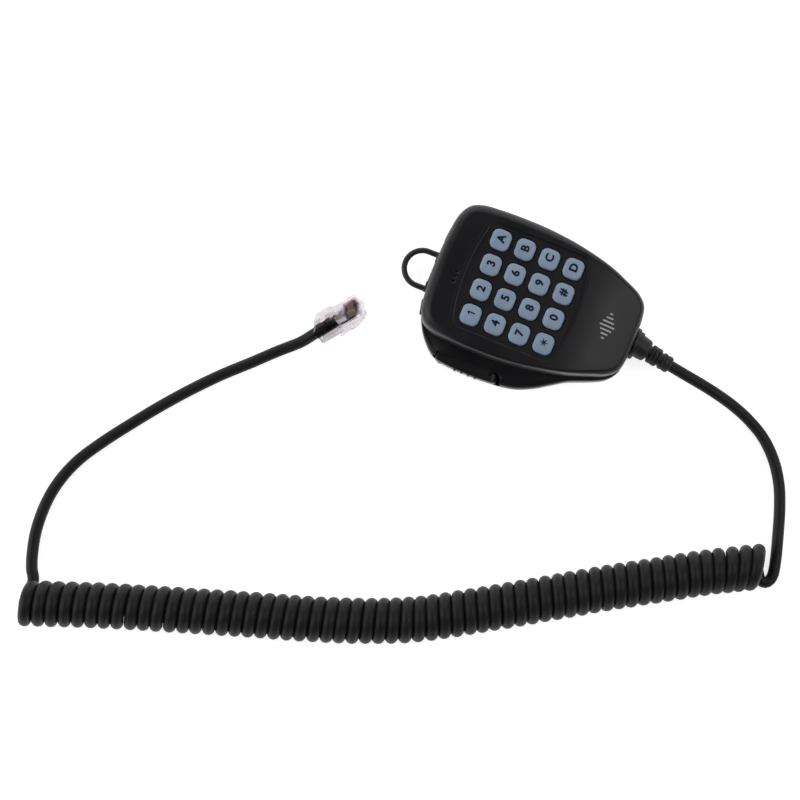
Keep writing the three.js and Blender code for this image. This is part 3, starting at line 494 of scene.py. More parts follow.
class Nodes:
    """A material's node tree, with short calls that add and join its nodes."""

    def __init__(self, name):
        self.material = bpy.data.materials.new(name)
        self.material.use_nodes = True
        self.tree = self.material.node_tree
        self.shader = self.tree.nodes["Principled BSDF"]
        self.place = self.add("ShaderNodeTexCoord").outputs["Object"]

    def add(self, kind, inputs=None, **settings):
        node = self.tree.nodes.new(kind)
        for key, value in settings.items():
            setattr(node, key, value)
        for key, value in (inputs or {}).items():
            self.set(node.inputs[key], value)
        return node

    def set(self, socket, value):
        if isinstance(value, bpy.types.NodeSocket):
            self.tree.links.new(value, socket)
        else:
            socket.default_value = value

    def noise(self, size_mm, detail=3.0, roughness=0.55, stretch=None):
        place = self.place
        if stretch:
            place = self.add("ShaderNodeMapping", {"Vector": place, "Scale": stretch}).outputs[0]
        node = self.add(
            "ShaderNodeTexNoise",
            {"Vector": place, "Scale": 1 / (size_mm * MM), "Detail": detail,
             "Roughness": roughness},
        )
        return node.outputs["Fac"]

    def spread(self, value, low, high, start=0.3, end=0.7):
        """The value's range from start to end, spread over low to high."""
        node = self.add(
            "ShaderNodeMapRange",
            {"Value": value, "From Min": start, "From Max": end, "To Min": low, "To Max": high},
        )
        return node.outputs["Result"]

    def mix(self, factor, first, second):
        node = self.add("ShaderNodeMix", data_type="RGBA")
        self.set(node.inputs["Factor"], factor)
        self.set(node.inputs["A"], first)
        self.set(node.inputs["B"], second)
        return node.outputs["Result"]

    def between(self, factor, first, second, most=1, start=0.3, end=0.7):
        """A colour that goes from the first to the second as the factor's range is crossed."""
        return self.mix(self.spread(factor, 0, most, start, end), tint(first), tint(second))

    def bump(self, height, depth_mm, before=None):
        inputs = {"Height": height, "Distance": depth_mm * MM, "Strength": 1.0}
        if before:
            inputs["Normal"] = before
        return self.add("ShaderNodeBump", inputs).outputs["Normal"]

    def base(self, **sockets):
        names = {"color": "Base Color", "rough": "Roughness", "metal": "Metallic", "ior": "IOR",
                 "normal": "Normal", "specular": "Specular IOR Level", "coat": "Coat Weight",
                 "through": "Transmission Weight", "sheen": "Sheen Weight",
                 "glow": "Emission Strength", "glow_color": "Emission Color"}
        for key, value in sockets.items():
            self.set(self.shader.inputs[names[key]], value)
        return self.material


def tint(color, factor=1.0):
    return (*[min(1.0, c * factor) for c in color], 1.0)


def moulded(name, color, rough=(0.42, 0.55), grain=(0.35, 0.012), dust=0.15, **more):
    """Moulded plastic or rubber: a fine grain, faint blotches, and dust that lightens it a little."""
    n = Nodes(name)
    broad = n.noise(14, 4)
    fine = n.noise(grain[0], 2)
    specks = n.noise(1.1, 5, 0.7)
    blotched = n.mix(n.spread(broad, 0, 1), tint(color, 0.86), tint(color, 1.16))
    dusty = n.mix(n.spread(specks, 0, dust, 0.55, 0.8), blotched, tint([c + 0.05 for c in color]))
    normal = n.bump(fine, grain[1])
    normal = n.bump(broad, 0.05, normal)
    return n.base(color=dusty, rough=n.spread(broad, *rough), normal=normal, **more)


def metal(name, color, rough=(0.25, 0.4), line_mm=(0.12, 0.12, 4.0), **more):
    """Drawn or turned metal, with fine lines that run one way."""
    n = Nodes(name)
    lines = n.noise(1.0, 3, stretch=[1 / s for s in line_mm])
    broad = n.noise(3, 3)
    shade_mix = n.mix(n.spread(broad, 0, 1), tint(color, 0.85), tint(color, 1.1))
    return n.base(color=shade_mix, metal=1.0, rough=n.spread(lines, *rough),
                  normal=n.bump(lines, 0.004), **more)


def body_plastic():
    return moulded("body_plastic", (0.0092, 0.0092, 0.0112), rough=(0.34, 0.42),
                   grain=(0.28, 0.008), dust=0.04, specular=0.32)


def key_plastic():
    n = Nodes("key_plastic")
    broad = n.noise(6, 3)
    fine = n.noise(0.22, 2)
    color = n.between(broad, (0.280, 0.365, 0.490), (0.325, 0.415, 0.555))
    return n.base(color=color, rough=n.spread(broad, 0.42, 0.52), normal=n.bump(fine, 0.006),
                  specular=0.4)


def print_ink():
    n = Nodes("print_ink")
    broken = n.noise(0.18, 4)
    color = n.between(broken, (0.003, 0.007, 0.014), (0.006, 0.012, 0.022))
    return n.base(color=color, rough=n.spread(broken, 0.5, 0.65), normal=n.bump(broken, 0.004),
                  specular=0.15)


def mark_ink():
    n = Nodes("mark_ink")
    broken = n.noise(0.2, 4)
    color = n.between(broken, (0.40, 0.40, 0.43), (0.50, 0.50, 0.53))
    return n.base(color=color, rough=n.spread(broken, 0.35, 0.55), normal=n.bump(broken, 0.004))


def cord_rubber():
    """The cord's sheath, with a painted brownish sheen on a stretch near the microphone end of the coil."""
    n = Nodes("cord_rubber")
    broad = n.noise(9, 4)
    fine = n.noise(0.3, 3)
    scuffs = n.noise(2.2, 6, 0.7)
    color = n.between(broad, (0.0110, 0.0112, 0.0122), (0.0150, 0.0152, 0.0162))
    color = n.mix(n.spread(scuffs, 0, 0.15, 0.55, 0.85), color, tint((0.03, 0.03, 0.032)))
    # Painted sheen: a lighter brownish patch around this point on the coil, fading out between 6 and 15 mm
    # from it.
    middle = row((-105.5, -63, 9))
    away = n.add("ShaderNodeVectorMath", {0: n.place, 1: middle}, operation="DISTANCE").outputs["Value"]
    near = n.spread(away, 1, 0, 6 * MM, 15 * MM)
    painted_sheen_patch = n.add("ShaderNodeMath", {0: near, 1: n.spread(broad, 0.35, 0.8)}, operation="MULTIPLY").outputs[0]
    color = n.mix(painted_sheen_patch, color, tint((0.022, 0.018, 0.014)))
    return n.base(color=color, rough=n.spread(scuffs, 0.42, 0.54), normal=n.bump(fine, 0.008),
                  specular=0.22)


def clear_plastic():
    """Clear polycarbonate that has gone a little pink and cloudy; it bends light only mildly."""
    n = Nodes("clear_polycarbonate")
    flow = n.noise(3.5, 3)
    fine = n.noise(0.5, 2)
    color = n.between(flow, (0.62, 0.57, 0.59), (0.76, 0.72, 0.74))
    return n.base(color=color, through=1.0, ior=1.09, rough=n.spread(fine, 0.08, 0.18),
                  normal=n.bump(flow, 0.08))


def gold():
    return metal("contact_gold", (0.92, 0.82, 0.64), rough=(0.42, 0.55))


def circuit_board():
    """Green solder mask over copper tracks, which show as lighter raised lines."""
    n = Nodes("solder_mask")
    brick = n.add(
        "ShaderNodeTexBrick",
        {"Vector": n.place, "Scale": 330.0, "Mortar Size": 0.012, "Mortar Smooth": 0.2,
         "Color1": tint((0.010, 0.085, 0.030)), "Color2": tint((0.012, 0.10, 0.036)),
         "Mortar": tint((0.03, 0.20, 0.07))},
    )
    broad = n.noise(5, 3)
    color = n.mix(n.spread(broad, 0, 0.5), brick.outputs["Color"], tint((0.006, 0.06, 0.02)))
    return n.base(color=color, rough=n.spread(broad, 0.25, 0.4), coat=0.4,
                  normal=n.bump(brick.outputs["Fac"], 0.03))


def felt():
    n = Nodes("black_felt")
    hairs = n.noise(0.15, 6, 0.8)
    color = n.between(hairs, (0.006, 0.006, 0.006), (0.02, 0.02, 0.02))
    return n.base(color=color, rough=n.spread(hairs, 0.85, 1.0), sheen=0.3, normal=n.bump(hairs, 0.15))


def floor_paint():
    n = Nodes("pale_floor")
    soft = n.noise(60, 2)
    color = n.between(soft, (0.90, 0.90, 0.90), (0.92, 0.92, 0.92))
    return n.base(color=color, rough=n.spread(soft, 0.75, 0.85), specular=0.1, glow=FLOOR_GLOW,
                  glow_color=tint((1.0, 1.0, 1.0)))


BODY = body_plastic()
KEY = key_plastic()
PRINT = print_ink()
MARK = mark_ink()
CORD = cord_rubber()
CLEAR = clear_plastic()
GOLD = gold()
BOARD = circuit_board()
FELT = felt()
RELIEF = moulded("relief_rubber", (0.0085, 0.0085, 0.009), rough=(0.45, 0.6), dust=0.12)
RUBBER = moulded("black_rubber", (0.01, 0.01, 0.01), rough=(0.6, 0.75), grain=(0.25, 0.02))
SWITCH = moulded("switch_plastic", (0.02, 0.021, 0.023), rough=(0.3, 0.4))
CHIP = moulded("chip_resin", (0.012, 0.012, 0.013), rough=(0.5, 0.65), grain=(0.15, 0.02))
SLEEVE = moulded("capacitor_sleeve", (0.015, 0.022, 0.05), rough=(0.2, 0.3))
NYLON = moulded("natural_nylon", (0.68, 0.66, 0.58), rough=(0.35, 0.5), dust=0.05)
FILM = moulded("amber_film", (0.34, 0.19, 0.05), rough=(0.12, 0.22), grain=(0.6, 0.004))
LAMP = moulded("lamp_film", (0.55, 0.66, 0.42), rough=(0.15, 0.25), grain=(0.5, 0.004))
WIRE = moulded("wire_sleeve", (0.45, 0.43, 0.40), rough=(0.35, 0.5))
STEEL = metal("bright_steel", (0.52, 0.52, 0.53))
SCREW = metal("plated_screw", (0.40, 0.40, 0.42), rough=(0.28, 0.45))
CAN = metal("drawn_can", (0.68, 0.69, 0.70), rough=(0.2, 0.35))


def dark_steel():
    """Blackened wire whose coating is rubbed through in places."""
    n = Nodes("blackened_steel")
    rubbed = n.noise(1.6, 6, 0.7)
    color = n.mix(n.spread(rubbed, 0, 0.5, 0.6, 0.8), tint((0.033, 0.028, 0.026)), tint((0.11, 0.095, 0.085)))
    return n.base(color=color, metal=0.25, rough=n.spread(rubbed, 0.38, 0.55), normal=n.bump(rubbed, 0.01))


DARK_STEEL = dark_steel()


def finish(obj, material, body, stands_for=(), weigh=False):
    """Gives a new piece its material, its body, and the CAD nodes that it stands for."""
    obj.data.materials.clear()
    obj.data.materials.append(material)
    if weigh:
        weighted(obj)
    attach(obj, body)
    if stands_for:
        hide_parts(*stands_for)
    return obj


def paint(node, material):
    """A CAD node that is shown as it is, with a finished material."""
    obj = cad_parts[node]
    obj.data.materials.clear()
    obj.data.materials.append(material)


# ---------------------------------------------------------------- camera, light and floor

def make_camera():
    """Adds the camera; gives the directions on the floor that are its right and its up."""
    right = Vector((math.cos(CAMERA_TURN), math.sin(CAMERA_TURN), 0))
    floor_up = Vector((-right.y, right.x, 0))
    back = Vector((0, 0, math.cos(CAMERA_TILT))) - floor_up * math.sin(CAMERA_TILT)
    up = back.cross(right)
    data = bpy.data.cameras.new("camera")
    data.lens = CAMERA_LENS
    camera = bpy.data.objects.new("camera", data)
    turn = Matrix((right, up, back)).transposed().to_4x4()
    camera.matrix_world = Matrix.Translation(row(CAMERA_TARGET + back * CAMERA_DISTANCE)) @ turn
    data.clip_start = 0.01
    bpy.context.scene.collection.objects.link(camera)
    bpy.context.scene.camera = camera
    return right, floor_up


def make_light(name, place, target, size, power):
    data = bpy.data.lights.new(name, "AREA")
    data.shape = "RECTANGLE"
    data.size, data.size_y = size
    data.energy = power
    obj = bpy.data.objects.new(name, data)
    obj.location = place
    obj.rotation_euler = (target - place).to_track_quat("-Z", "Y").to_euler()
    bpy.context.scene.collection.objects.link(obj)


def make_studio(right, up):
    scene = bpy.context.scene
    scene.view_settings.view_transform = "Standard"
    target = row(LIGHT_TARGET)
    for name, ((across, along, above), size, power) in SOFT_BOXES.items():
        place = target + right * across + up * along + Vector((0, 0, above))
        make_light(name, place, target, size, power)
    world = bpy.data.worlds.new("studio")
    world.use_nodes = True
    scene.world = world
    tree = world.node_tree
    background = tree.nodes["Background"]
    place = tree.nodes.new("ShaderNodeTexCoord")
    split = tree.nodes.new("ShaderNodeSeparateXYZ")
    ramp = tree.nodes.new("ShaderNodeValToRGB")
    tree.links.new(place.outputs["Generated"], split.inputs[0])
    tree.links.new(split.outputs["Z"], ramp.inputs["Fac"])
    ramp.color_ramp.elements[0].position = 0.0
    ramp.color_ramp.elements[0].color = (1.0, 1.0, 1.0, 1)
    ramp.color_ramp.elements[1].position = 0.7
    ramp.color_ramp.elements[1].color = (0.04, 0.04, 0.042, 1)
    tree.links.new(ramp.outputs["Color"], background.inputs["Color"])
    background.inputs["Strength"].default_value = WORLD_STRENGTH

    low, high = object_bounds()
    middle = (low + high) / 2
    floor = bpy.data.objects.new("floor", bpy.data.meshes.new("floor"))
    sheet = bmesh.new()
    bmesh.ops.create_grid(sheet, x_segments=8, y_segments=8, size=4.0)
    sheet.to_mesh(floor.data)
    sheet.free()
    floor.location = (middle.x, middle.y, min(low.z, 0) - 0.0001)
    floor.data.materials.append(floor_paint())
    scene.collection.objects.link(floor)
    floor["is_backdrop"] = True


# ---------------------------------------------------------------- cord

def on_plug(x, y=0.0, z=0.0):
    """A point in the plug's own frame: X forwards from its rear face, Z towards its contacts."""
    return PLUG_TURN @ Vector((x, y, z)) + PLUG_REAR


def coil_points():
    """The helix, from its plug end to its microphone end. Both ends are at the bottom."""
    axis = smooth_line(flat_points(COIL_LINE), 1.0)
    reach = [0.0]
    for a, b in zip(axis, axis[1:]):
        reach.append(reach[-1] + (b - a).length)
    points = []
    count = COIL_TURNS * STEPS_PER_TURN
    at = 0
    for i in range(count + 1):
        # The turns sit a little closer towards the microphone end.
        share = i / count
        distance = reach[-1] * (share + 0.04 * share * (1 - share))
        while at < len(axis) - 2 and reach[at + 1] < distance:
            at += 1
        mix = (distance - reach[at]) / (reach[at + 1] - reach[at])
        middle = axis[at].lerp(axis[at + 1], mix)
        low_i, high_i = max(at - 3, 0), min(at + 4, len(axis) - 1)
        ahead = (axis[high_i] - axis[low_i]).normalized()
        side = Vector((ahead.y, -ahead.x, 0))
        angle = math.pi + TAU * i / STEPS_PER_TURN
        turn = i / STEPS_PER_TURN
        # No two turns of a used cord are quite alike.
        radius = COIL_R - 0.05 - 0.05 * math.sin(turn * 2.3) * math.sin(turn * 0.9)
        slip = 0.07 * math.sin(turn * 1.7) + 0.05 * math.sin(turn * 4.1)
        # The last turns at the microphone end lean back towards the rest.
        lean = 1.6 * smooth_step(turn, COIL_TURNS - 4, COIL_TURNS) * math.sin(angle)
        point = middle + ahead * (slip * min(1, turn, COIL_TURNS - turn) + lean)
        point += side * (-radius * math.sin(angle))
        point.z = COIL_OUTER_R + 0.03 + radius * math.cos(angle)
        points.append(point)
    return points


def path_length(points):
    return sum((b - a).length for a, b in zip(points, points[1:]))


def make_cord():
    """The whole cord as one curve; its sheath is a little thicker where it is wound."""
    start = RELIEF_BASE + RELIEF_DIRECTION * (RELIEF_LENGTH - 1.5)
    lead = [start, *[Vector(p) for p in MIC_LEAD]]
    tail = [Vector(p) for p in PLUG_LEAD] + [on_plug(x) for x in (-9, -3, 3, 9.4)]
    line = smooth_line(lead + coil_points()[::-1] + tail, CORD_STEP)
    length = path_length(line)
    wound_from, wound_to = path_length(lead), length - path_length(tail)
    data = bpy.data.curves.new("cord", "CURVE")
    data.dimensions = "3D"
    data.bevel_depth = CORD_R * MM
    data.bevel_resolution = 5
    data.use_fill_caps = True
    data.twist_mode = "MINIMUM"
    spline = data.splines.new("POLY")
    spline.points.add(len(line) - 1)
    reach = 0.0
    before = line[0]
    for point, place in zip(spline.points, line):
        reach += (place - before).length
        before = place
        wound = smooth_step(min(reach - wound_from, wound_to - reach), 0, WOUND_EASE)
        point.co = (*row(place), 1)
        point.radius = 1 + (COIL_WIRE_R / CORD_R - 1) * wound
    spline.use_smooth = True
    obj = bpy.data.objects.new("cord", data)
    bpy.context.scene.collection.objects.link(obj)
    finish(obj, CORD, "housing", ["cord_mic_lead", "cord_coil", "cord_plug_lead"])
    return obj


# ---------------------------------------------------------------- front cover

OUTLINE_COUNT = 384
FACE_CENTRE = (0, -6)


def cover_outlines():
    mirrored = [(-x, y) for x, y in reversed(RIGHT_SIDE[1:-1])]
    front = smooth_line(flat_points(RIGHT_SIDE + mirrored), 0.25, closed=True)
    rear = smooth_line(flat_points(RIGHT_SIDE + WING_SIDE[::-1]), 0.25, closed=True)
    return polar(front, FACE_CENTRE, OUTLINE_COUNT), polar(rear, FACE_CENTRE, OUTLINE_COUNT)


FRONT_OUTLINE, REAR_OUTLINE = cover_outlines()


def bezier(a, b, c, steps):
    a, b, c = (Vector((*p, 0)) for p in (a, b, c))
    return [
        a * (1 - t) ** 2 + b * 2 * t * (1 - t) + c * t * t for t in (k / steps for k in range(steps))
    ]


def curve_chain(chain):
    """Quadratic curves one after another, from a start and each one's control, end and steps."""
    start, points = chain[0], []
    for control, end, steps in chain[1:]:
        points += bezier(start, control, end, steps)
        start = end
    return points


def bezier_pairs(a, b, c, steps):
    """A quadratic curve as pairs, with both of its ends."""
    return [(p.x, p.y) for p in bezier(a, b, c, steps)] + [c]


def recess_outline(grow=0.0):
    """The keypad recess: bowed at the top and bottom, straight at the sides."""
    half = RECESS_HALF + grow
    corner = half - 3.4
    return curve_chain([
        (half, -17.8), ((half, 0), (half, 18.6), 24), ((half - 0.2, 21.4 + grow), (corner, 21.9 + grow), 14),
        ((0, 26 + grow), (-corner, 21.9 + grow), 48), ((0.2 - half, 21.4 + grow), (-half, 18.6), 14),
        ((-half, 0), (-half, -17.8), 24), ((0.2 - half, -20.4 - grow), (-corner, -20.9 - grow), 14),
        ((0, -26.2 - grow), (corner, -20.9 - grow), 48), ((half - 0.2, -20.4 - grow), (half, -17.8), 14),
    ])


def key_centre(index):
    column, line = index % 4, index // 4
    return (column - 1.5) * KEY_PITCH[0], (1.5 - line) * KEY_PITCH[1]


def edge_radius(x, y):
    """Radius of the front cover's edge at a point of its outline."""
    cord_end = FACE_EDGE_R["cord end"]
    radius = cord_end + (FACE_EDGE_R["ring end"] - cord_end) * smooth_step(y, -34, 4)
    beside_wing = smooth_step(-x, 17, 26) * smooth_step(-y, -32, -12)
    return radius + (FACE_EDGE_R["wing side"] - radius) * beside_wing


def front_rings(outset, drop, base_z, edge_steps):
    """Rings up the wall and over the rounded edge, which is tighter at the cord end and beside the wing."""
    radii = [edge_radius(p.x, p.y) for p in FRONT_OUTLINE]
    rings = [inset(FRONT_OUTLINE, outset, base_z)]
    for across, down in quarter_turn(edge_steps):
        ring = inset(FRONT_OUTLINE, [outset + EDGE_REACH * r * across for r in radii])
        rings.append([
            Vector((p.x, p.y, face_height(p.x, p.y) - drop - r * down)) for p, r in zip(ring, radii)
        ])
    return rings


def front_cover():
    shape = Shape()
    rings = front_rings(0, 0, PARTING_Z + GAP / 2 + 0.25, 12)
    rings.insert(0, inset(FRONT_OUTLINE, 0.25, PARTING_Z + GAP / 2))
    edge = rings[-1]
    rim = polar(recess_outline(), FACE_CENTRE, OUTLINE_COUNT)
    lip = [1.0 if p.y > 16 else max(0.0, (p.y - 10) / 6) for p in rim]

    def around(distance, height):
        """The recess's rim moved outwards, at a height above the face for each point."""
        moved = inset(rim, -distance)
        return [Vector((p.x, p.y, face_height(p.x, p.y) + height(i))) for i, p in enumerate(moved)]

    outer = around(1.5, lambda i: 0)
    for k in range(1, 14):
        mix = k / 14
        rings.append(on_face([a.lerp(b, mix) for a, b in zip(edge, outer)]))
    rings.append(outer)
    rings.append(around(1.25, lambda i: -0.07 * lip[i]))
    rings.append(around(1.0, lambda i: 0.0))
    rings.append(around(0.45, lambda i: 0.01 * lip[i]))
    step = [max(0.1, face_height(p.x, p.y) - PANEL_Z) for p in rim]
    for across, down in quarter_turn(4, first=1):
        rings.append([
            Vector((p.x, p.y, face_height(p.x, p.y) - min(0.4, 0.5 * step[i]) * across))
            for i, p in enumerate(inset(rim, -0.4 * down))
        ])
    rings.append(at_height(inset(rim, 0.05), PANEL_Z + 0.12))
    rings.append(at_height(inset(rim, 0.2), PANEL_Z))
    shape.loft(rings)
    cover = make_object("front_shell", shape)

    hollow = front_rings(WALL, WALL, PARTING_Z - 1, 4)
    inner_edge = hollow[-1]
    for scale in (0.75, 0.5, 0.25):
        middle = Vector((0, -5, 0))
        hollow.append(on_face([middle.lerp(p, scale) for p in inner_edge], WALL))
    cut(cover, Shape().loft(hollow))
    panel = polar(recess_outline(1.5), FACE_CENTRE, OUTLINE_COUNT)
    join(cover, Shape().prism(panel, PANEL_Z - PANEL_T, PANEL_Z - 0.05))
    front_bosses(cover)
    key_holes(cover)
    port_slots(cover)
    cut(cover, cord_hole())
    shade(cover, 32)
    return finish(cover, BODY, "housing", ["front_cover"], weigh=True)


def cord_hole():
    """The hole that the strain relief sits in, half in each cover."""
    return Shape().turned([(CORD_HOLE_R, 0), (CORD_HOLE_R, 9)], (RELIEF_X, -43, CORD_Z), (0, -1, 0))


def front_bosses(cover):
    bosses, bores = Shape(), Shape()
    for x, y in COVER_SCREWS:
        bosses.prism(circle(2.8, 32, (x, y)), PARTING_Z + 0.6, 24.6)
        bores.prism(circle(1.6, 24, (x, y)), PARTING_Z, 21.5)
    for x, y in BOARD_SCREWS:
        bosses.prism(circle(2.1, 32, (x, y)), 20.6, 25.6)
        bores.prism(circle(1.1, 24, (x, y)), 20, 24.2)
    join(cover, bosses)
    cut(cover, bores)


def key_holes(cover):
    """Openings in the panel that the keys stand in, each with an eased edge."""
    holes = Shape()
    for index in range(16):
        size = KEY_SIZE[0] + 2 * GAP, KEY_SIZE[1] + 2 * GAP
        hole = rounded_rectangle(*size, KEY_CORNER + GAP, key_centre(index))
        rings = [at_height(hole, PANEL_Z - PANEL_T - 1)]
        rings += [inset(hole, -0.3 * across, PANEL_Z - 0.3 * down) for across, down in quarter_turn(4)]
        rings.append(inset(hole, -0.32, PANEL_Z + 0.5))
        holes.loft(rings)
    cut(cover, holes)


def port_slots(cover):
    """Three short slots over the microphone, each a shallow dish with a narrow way through."""
    slots = Shape()
    for step_x in (-PORT_PITCH, 0, PORT_PITCH):
        slot = rounded_rectangle(*PORT_SLOT, 0.44, (PORT[0] + step_x, PORT[1]), 6)
        top = face_height(PORT[0] + step_x, PORT[1])
        slots.loft([
            inset(slot, 0.36, 20), inset(slot, 0.34, top - 0.3), inset(slot, 0.26, top - 0.2),
            inset(slot, 0, top - 0.06), inset(slot, -0.2, top + 0.04), inset(slot, -0.3, top + 0.6),
        ])
    cut(cover, slots)


def drape(obj, height, top=0.03, bottom=-0.05, cell=0.5):
    """Cuts a flat print into small cells and lays it over a curved surface.

    The mesh is in millimetres, with its upper side above z = 0; height gives the surface."""
    mesh = bmesh.new()
    mesh.from_mesh(obj.data)
    for axis in (0, 1):
        values = [v.co[axis] for v in mesh.verts]
        low, high = min(values), max(values)
        count = max(1, math.ceil((high - low) / cell))
        for k in range(1, count):
            place, normal = Vector((0, 0, 0)), Vector((0, 0, 0))
            place[axis], normal[axis] = low + (high - low) * k / count, 1
            bmesh.ops.bisect_plane(
                mesh, geom=mesh.verts[:] + mesh.edges[:] + mesh.faces[:], dist=1e-5,
                plane_co=place, plane_no=normal)
    for vertex in mesh.verts:
        x, y, z = vertex.co
        vertex.co = row((x, y, height(x, y) + (top if z > 0 else bottom)))
    mesh.to_mesh(obj.data)
    mesh.free()
    shade(obj, 50)
    return obj


def generic_mark():
    """A printed mark under the keypad: seven upright bars, like a sound level."""
    heights = (1.4, 3.0, 4.8, 6.4, 4.8, 3.0, 1.4)
    shape = Shape()
    for i, height in enumerate(heights):
        x = (i - 3) * 1.7
        shape.prism(rounded_rectangle(0.62, height, 0.3, (x, -36.6), 5), -1, 1)
    mark = make_object("printed_mark", shape, unit=1)
    drape(mark, face_height)
    return finish(mark, MARK, "housing")


# ---------------------------------------------------------------- rear cover

def rear_cover():
    top = PARTING_Z - GAP / 2
    inner = inset(FRONT_OUTLINE, 0.15)
    rings = []
    back_edge = (
        (2.4, 0), (1.75, 0.12), (1.2, 0.42), (0.75, 0.85), (0.42, 1.4), (0.2, 2.1), (0.06, 2.9), (0, 3.8))
    for distance, z in back_edge:
        rings.append(inset(REAR_OUTLINE, distance, z))
    width = [(a - b).length for a, b in zip(REAR_OUTLINE, inner)]

    def shelf(inward, height):
        """Rings that leave the wall for the wing's top; both values depend on the wing's width."""
        ring = []
        for i, point in enumerate(REAR_OUTLINE):
            across = (inner[i] - point) * (min(1.0, inward(width[i]) / max(width[i], 0.01)))
            ring.append(Vector((point.x + across.x, point.y + across.y, height(width[i]))))
        return ring

    def radius(w):
        return 0.25 + 1.9 * smooth_step(w, 0.5, 6)

    def fall(w):
        return 2.2 * smooth_step(w, 0.5, 8)

    rings.append(shelf(lambda w: 0, lambda w: top - fall(w) - radius(w)))
    for across, down in quarter_turn(6, first=1):
        rings.append(shelf(
            lambda w: radius(w) * across, lambda w: top - fall(w) - radius(w) * down))
    for k in range(1, 9):
        mix = k / 8
        rings.append(shelf(
            lambda w: radius(w) + (w - radius(w)) * mix if w > 0.4 else w * mix,
            lambda w: top - fall(w) * (1 - mix) ** 1.5,
        ))
    rings.append(at_height(inset(FRONT_OUTLINE, 0.9), top))
    cover = make_object("rear_shell", Shape().loft(rings))

    hollow = Shape().loft([
        inset(REAR_OUTLINE, WALL + 1.2, FLOOR_T), inset(REAR_OUTLINE, WALL + 0.4, FLOOR_T + 0.5),
        inset(REAR_OUTLINE, WALL, FLOOR_T + 1.4), inset(REAR_OUTLINE, WALL, 7.5),
        inset(REAR_OUTLINE, WALL + 1.4, 9.2),
    ])
    cut(cover, hollow)
    mouth = Shape().loft([inset(FRONT_OUTLINE, WALL, 8.0), inset(FRONT_OUTLINE, WALL, top + 1)])
    cut(cover, mouth)

    rear_bosses(cover)
    ring_seat(cover)
    talk_notch(cover)
    screw_sinks(cover)
    slots = Shape()
    slots.box((-23.5, -5.4, 2), (-21.7, 5.4, 10))
    slots.box((-24.5, 29.5, 2), (19.1, 31.3, 10.4))
    cut(cover, slots, cord_hole())
    ring_slots(cover)
    cut(cover, Shape().prism(circle(1.3, 32, TALK_PIVOT), 1.2, TALK_PIN_TOP + GAP))
    button_windows(cover)
    shade(cover, 32)
    return finish(cover, BODY, "housing", ["rear_cover"], weigh=True)


def rear_bosses(cover):
    """Screw bosses, the cord clamp's posts, the pivot pin's foot and the small boards' rails."""
    bosses = Shape()
    for x, y in COVER_SCREWS:
        bosses.prism(circle(3.8, 40, (x, y)), 0.5, PARTING_Z - 0.6)
    for side in (-1, 1):
        bosses.prism(circle(2.4, 32, (side * 5.4, -40.5)), 1, 9.9)
    bosses.box((-2.6, -42, 1), (2.6, -39, 9.2))
    bosses.prism(circle(2.2, 32, TALK_PIVOT), 0.8, TALK_Z[0] - GAP)
    for low, high in (
        ((-24.4, -6.4, 1), (-20.6, -4.6, 9)), ((-24.4, 4.6, 1), (-20.6, 6.4, 9)),
        ((-25.6, 28.6, 1), (-23.8, 31.8, 9)), ((18.4, 28.6, 1), (20.4, 32.2, 9)),
    ):
        bosses.box(low, high)
    join(cover, bosses)


def ring_seat(cover):
    """The clamp's pegs, and the clips and the thick wall that hold the hanger ring's pin."""
    pegs = Shape()
    for side in (-1, 1):
        pegs.prism(circle(0.9, 24, (side * 5.4, -40.5)), 9, 12.6)
        # An open clip that the hanger ring's pin snaps into.
        length = RING_PIN_Y + 0.8 - 35.5
        clip = rounded_rectangle(length, 3.2, 0.5, (35.5 + length / 2, RING_Z), 5)
        x = RING_X + side * RING_CLIP - 0.75
        pegs.loft([[Vector((x + shift, p.x, p.y)) for p in clip] for shift in (0, 1.5)])
    join(cover, pegs)
    join(cover, Shape().box((RING_X - 10, 33.6, 1.5), (RING_X + 10, 35.6, 10.6)))


def talk_notch(cover):
    """The opening in the wing for the talk button."""
    notch = smooth_line(flat_points(TALK_NOTCH), 0.4)
    notch += flat_points([(-45, TALK_NOTCH[-1][1]), (-45, TALK_NOTCH[0][1])])
    notch.reverse()
    # Its upper edge is eased where it meets the wing's top.
    cut(cover, Shape().loft([
        at_height(notch, FLOOR_T + 0.1), at_height(notch, 10.2), inset(notch, -0.06, 10.5),
        inset(notch, -0.22, 10.75), inset(notch, -0.5, 10.95), inset(notch, -0.9, 11.15),
        inset(notch, -1.0, PARTING_Z + 2),
    ]))
    cut(cover, Shape().box(
        (-40, NOTCH_Y[0] + 0.4, FLOOR_T + 0.1), (-30.2, NOTCH_Y[1] - 0.3, TALK_Z[1] + 0.4)))


def screw_sinks(cover):
    """The cover screws' holes, and the sinks in the back that their heads sit in."""
    bores = Shape()
    for x, y in COVER_SCREWS:
        bores.prism(circle(1.6, 32, (x, y)), 2.5, PARTING_Z + 1)
    cut(cover, bores)
    sinks = Shape()
    for x, y in COVER_SCREWS:
        hole = circle(2.9, 48, (x, y))
        sinks.loft([
            inset(hole, -0.5, -0.6), inset(hole, -0.32, 0), inset(hole, -0.12, 0.12),
            at_height(hole, 0.4), at_height(hole, 3),
        ])
    cut(cover, sinks)


def ring_slots(cover):
    """The groove for the hanger ring's pin, and slots that let its legs swing up."""
    groove_r, reach = RING_PIN_R + 0.1, RING_RADIUS + 1.6
    cut(cover, Shape().turned(
        [(groove_r, 0), (groove_r, 2 * reach)], (RING_X - reach, RING_PIN_Y, RING_Z), (1, 0, 0)))
    for side in (-1, 1):
        x, room = RING_X + side * RING_RADIUS, RING_WIRE_R + GAP
        cut(cover, Shape().box(
            (x - room, RING_PIN_Y - RING_EYE_R - GAP, RING_Z - RING_EYE_R - GAP),
            (x + room, TOP_WALL_Y + 3, PARTING_Z + 1)))


